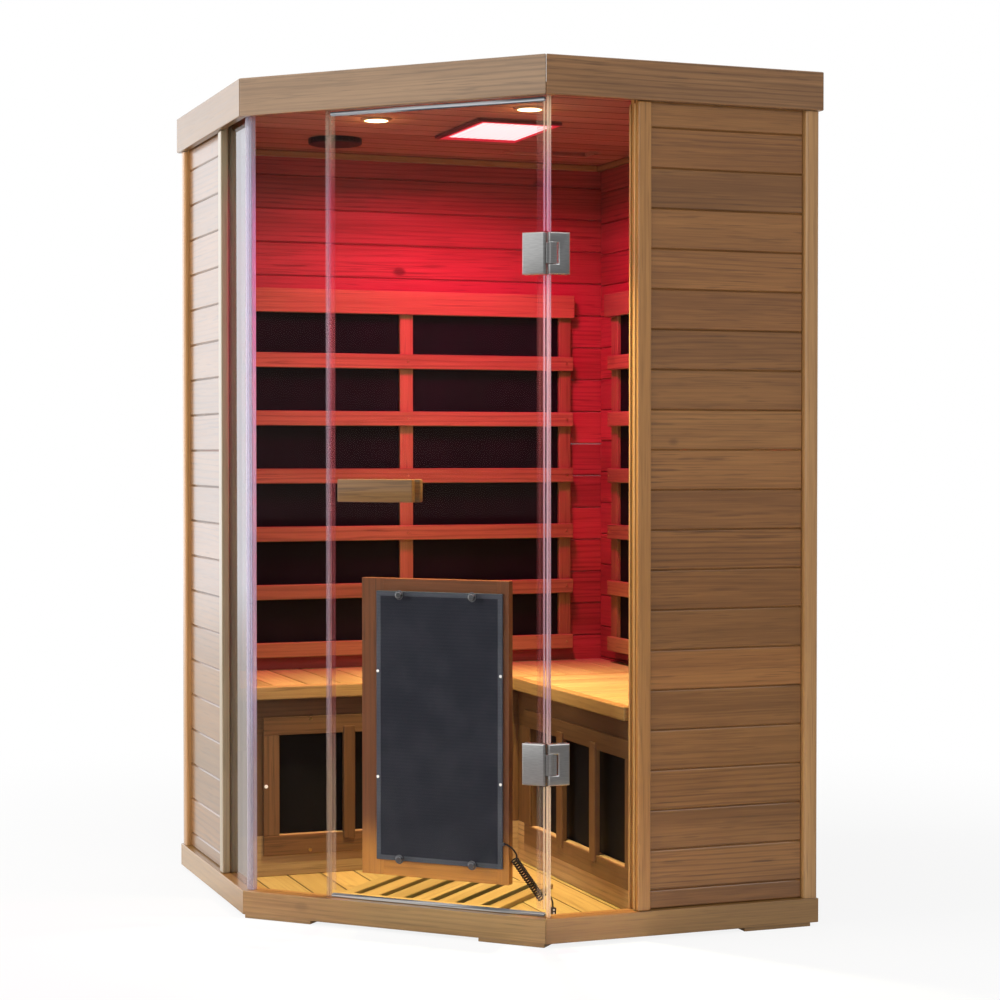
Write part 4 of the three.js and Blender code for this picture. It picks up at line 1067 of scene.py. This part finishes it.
# Handles: a bare planed wooden block on each face of the glass, with rounded arrises,
# held off the pane by two turned metal spacers and their through bolts.
HANDLE_S = (0.318, 0.505)
HANDLE_Z = (0.9515, 1.0025)
BOLTS = [(0.35, 0.977), (0.473, 0.977)]
handle_wood = wood("handle_wood", (0.17, 0.094, 0.03), (0.11, 0.055, 0.017), "door", 0.38, 0.0, 0.4)
for name, near, far in (("outer", 0.0142, 0.0292), ("inner", -0.0248, -0.0098)):
    block = ease(blank((HANDLE_S[0], near, HANDLE_Z[0]), (HANDLE_S[1], far, HANDLE_Z[1])), 0.003, 3)
    fix(f"handle_{name}_block", [block], "leaf", handle_wood, "door", [f"handle_{name}"])
spacers = [disc(bolt, 0.007, *reach, upright=False) for bolt in BOLTS for reach in ((0.0055, 0.0144), (-0.01, -0.0011))]
fix("handle_spacers", spacers, "leaf", satin, "door")


# Door heater: a wooden frame carried by four capped studs through the glass, with a
# heating panel in it whose grey back sheet faces the glass.
FRAME_S = (0.104, 0.465)
FRAME_Z = (0.119, 0.782)
FRAME_Y = (-0.0328, -0.0132)
OPEN_S = (0.132, 0.411)
OPEN_Z = (0.172, 0.735)
stiles = [
    board((FRAME_S[0], FRAME_Y[0], FRAME_Z[0]), (OPEN_S[0], FRAME_Y[1], FRAME_Z[1]), 0.0006),
    board((OPEN_S[1], FRAME_Y[0], FRAME_Z[0]), (FRAME_S[1], FRAME_Y[1], FRAME_Z[1]), 0.0006),
]
# The frame is painted warmer and brighter at its foot: painted light from the lit floor and the spot lamp.
frame_wood = {
    grain: wood(
        "frame_wood_" + grain, (0.17, 0.063, 0.0225), (0.116, 0.0405, 0.0135), grain, 0.42, 0.0, 0.0, 0.5,
        foot=(3.0, 3.5, 1.8),
    )
    for grain in ("z", "door")
}
fix("door_heater_stiles", stiles, "leaf", frame_wood["z"], "door", ["door_heater_frame"], (0.5, 0.5))
rails = [
    board((OPEN_S[0], FRAME_Y[0], FRAME_Z[0]), (OPEN_S[1], FRAME_Y[1], OPEN_Z[0]), 0.0006),
    board((OPEN_S[0], FRAME_Y[0], OPEN_Z[1]), (OPEN_S[1], FRAME_Y[1], FRAME_Z[1]), 0.0006),
]
fix("door_heater_rails", rails, "leaf", frame_wood["door"], "door", (), (0.5, 0.5))

heater_grey = heating_sheet("heater_grey", (0.0165, 0.018, 0.0255), (0.0275, 0.029, 0.0385))
border_grey = heating_sheet("border_grey", (0.05, 0.055, 0.068), (0.075, 0.08, 0.095))
sheet = board((0.117, -0.0128, 0.154), (0.426, -0.007, 0.754), 0.001)
element = board((0.1324, -0.0298, 0.1724), (0.4106, -0.0132, 0.7346), 0.0015)
entry = board((0.113, -0.0128, 0.2055), (0.1172, -0.0068, 0.2125), 0.001)
fix("door_heater_sheet", [sheet, element, entry], "leaf", border_grey, "door", ["door_heater_panel"])
face = board((0.128, -0.0071, 0.165), (0.415, -0.0068, 0.743), 0.0001)
fix("door_heater_face", [face], "leaf", heater_grey, "door")
studs = []
for s in (0.184, 0.362):
    for z in (0.16, 0.7465):
        studs.append(disc((s, z), 0.0105, 0.0053, 0.0066, upright=False, ease_by=0.0005))
        studs.append(disc((s, z), 0.0078, 0.0064, 0.0112, upright=False, ease_by=0.0022))
        studs.append(disc((s, z), 0.006, -0.0066, -0.001, upright=False))
        studs.append(disc((s, z), 0.004, -0.0278, 0.006, upright=False))
fix("door_heater_studs", studs, "leaf", chrome, "door")
SHEET_SCREWS = [(s, z) for s in (0.121, 0.422) for z in (0.339, 0.575)]
heads = [disc(place, 0.0034, -0.0072, -0.0058, upright=False, ease_by=0.0005, sides=16) for place in SHEET_SCREWS]
fix("door_heater_screws", heads, "leaf", screw_zinc, "door")


# Heater cord: a black rubber curly lead from the gland on the door heater down to a small socket on the floor beside
# the hinge, built once in its shape with the door shut.
CURLS = 17.5
CURL_RADIUS = 0.0073
CURL_STEPS = 16


def leaf_point(along, outward, height):
    """A point given along and out from the door, in the room."""
    corner, turn = SIDES["leaf"]
    return Vector((*corner, height)) + Matrix.Rotation(turn, 3, "Z") @ Vector((along, outward, 0))


def smooth_line(knots, steps=4):
    """Points on a smooth line through the given ones."""
    ends = [2 * knots[0] - knots[1]] + knots + [2 * knots[-1] - knots[-2]]
    line = []
    for a, b, c, d in zip(ends, ends[1:], ends[2:], ends[3:]):
        for k in range(steps):
            t = k / steps
            curved = (2 * a - 5 * b + 4 * c - d) * t ** 2 + (3 * b - a - 3 * c + d) * t ** 3
            line.append(b + 0.5 * ((c - a) * t + curved))
    return line + [knots[-1]]


coil_start = leaf_point(0.094, -0.02, 0.176)
coil_end = Vector((-0.024, -0.47, 0.081))
coil_axis = coil_end - coil_start
coil_across = Vector((0, 0, 1)).cross(coil_axis).normalized()
coil_up = coil_axis.cross(coil_across).normalized()
curl_steps = int(CURLS * CURL_STEPS)
coil = []
for k in range(curl_steps + 1):
    turn = pi + 2 * pi * k / CURL_STEPS
    centre = coil_start + coil_axis * (k / curl_steps)
    coil.append(centre + CURL_RADIUS * (cos(turn) * coil_across + sin(turn) * coil_up))
lead = smooth_line([
    leaf_point(0.1127, -0.0099, 0.209),
    leaf_point(0.1089, -0.0099, 0.209),
    leaf_point(0.0985, -0.011, 0.2035),
    leaf_point(0.092, -0.0145, 0.1955),
    leaf_point(0.0886, -0.0186, 0.187),
    coil[0] + Vector((0.0006, 0, 0.0036)),
])
tail = smooth_line([
    coil[-1] + Vector((0.0026, 0.0012, 0.0024)),
    Vector((-0.014, -0.468, 0.088)),
    Vector((-0.006, -0.475, 0.085)),
    Vector((-0.0024, -0.4806, 0.076)),
    Vector((-0.002, -0.482, 0.0661)),
    Vector((-0.002, -0.482, 0.0623)),
])
route = lead + coil + tail

cord_line = bpy.data.curves.new("heater_cord_line", "CURVE")
cord_line.dimensions = "3D"
cord_line.bevel_depth = 0.0019
cord_line.bevel_resolution = 2
cord_line.use_fill_caps = True
spline = cord_line.splines.new("POLY")
spline.points.add(len(route) - 1)
for point, step in zip(spline.points, route):
    point.co = (*step, 1)
cord = bpy.data.objects.new("heater_cord_curly", cord_line)
scene.collection.objects.link(cord)
bpy.ops.object.select_all(action="DESELECT")
cord.select_set(True)
bpy.context.view_layer.objects.active = cord
bpy.ops.object.convert(target="MESH")
cord = bpy.context.object
bpy.ops.object.shade_smooth()
rubber_black = moulded("rubber_black", (0.004, 0.004, 0.0045), 0.34, 900.0)
cord.data.materials.clear()
cord.data.materials.append(rubber_black)
socket = ease(blank((-0.008, -0.489, 0.0464), (0.004, -0.475, 0.062)), 0.0018, 3)
socket = fix("cord_socket_body", [socket], "room", black_plastic, stands_for=["cord_floor_socket"])
socket_screws = [
    disc((-0.002, z), 0.0024, -0.4896, -0.4885, upright=False, ease_by=0.0004, sides=16)
    for z in (0.0505, 0.0578)
]
fix("cord_socket_screws", socket_screws, "room", screw_zinc)
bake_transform(cord)
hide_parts("heater_cord")
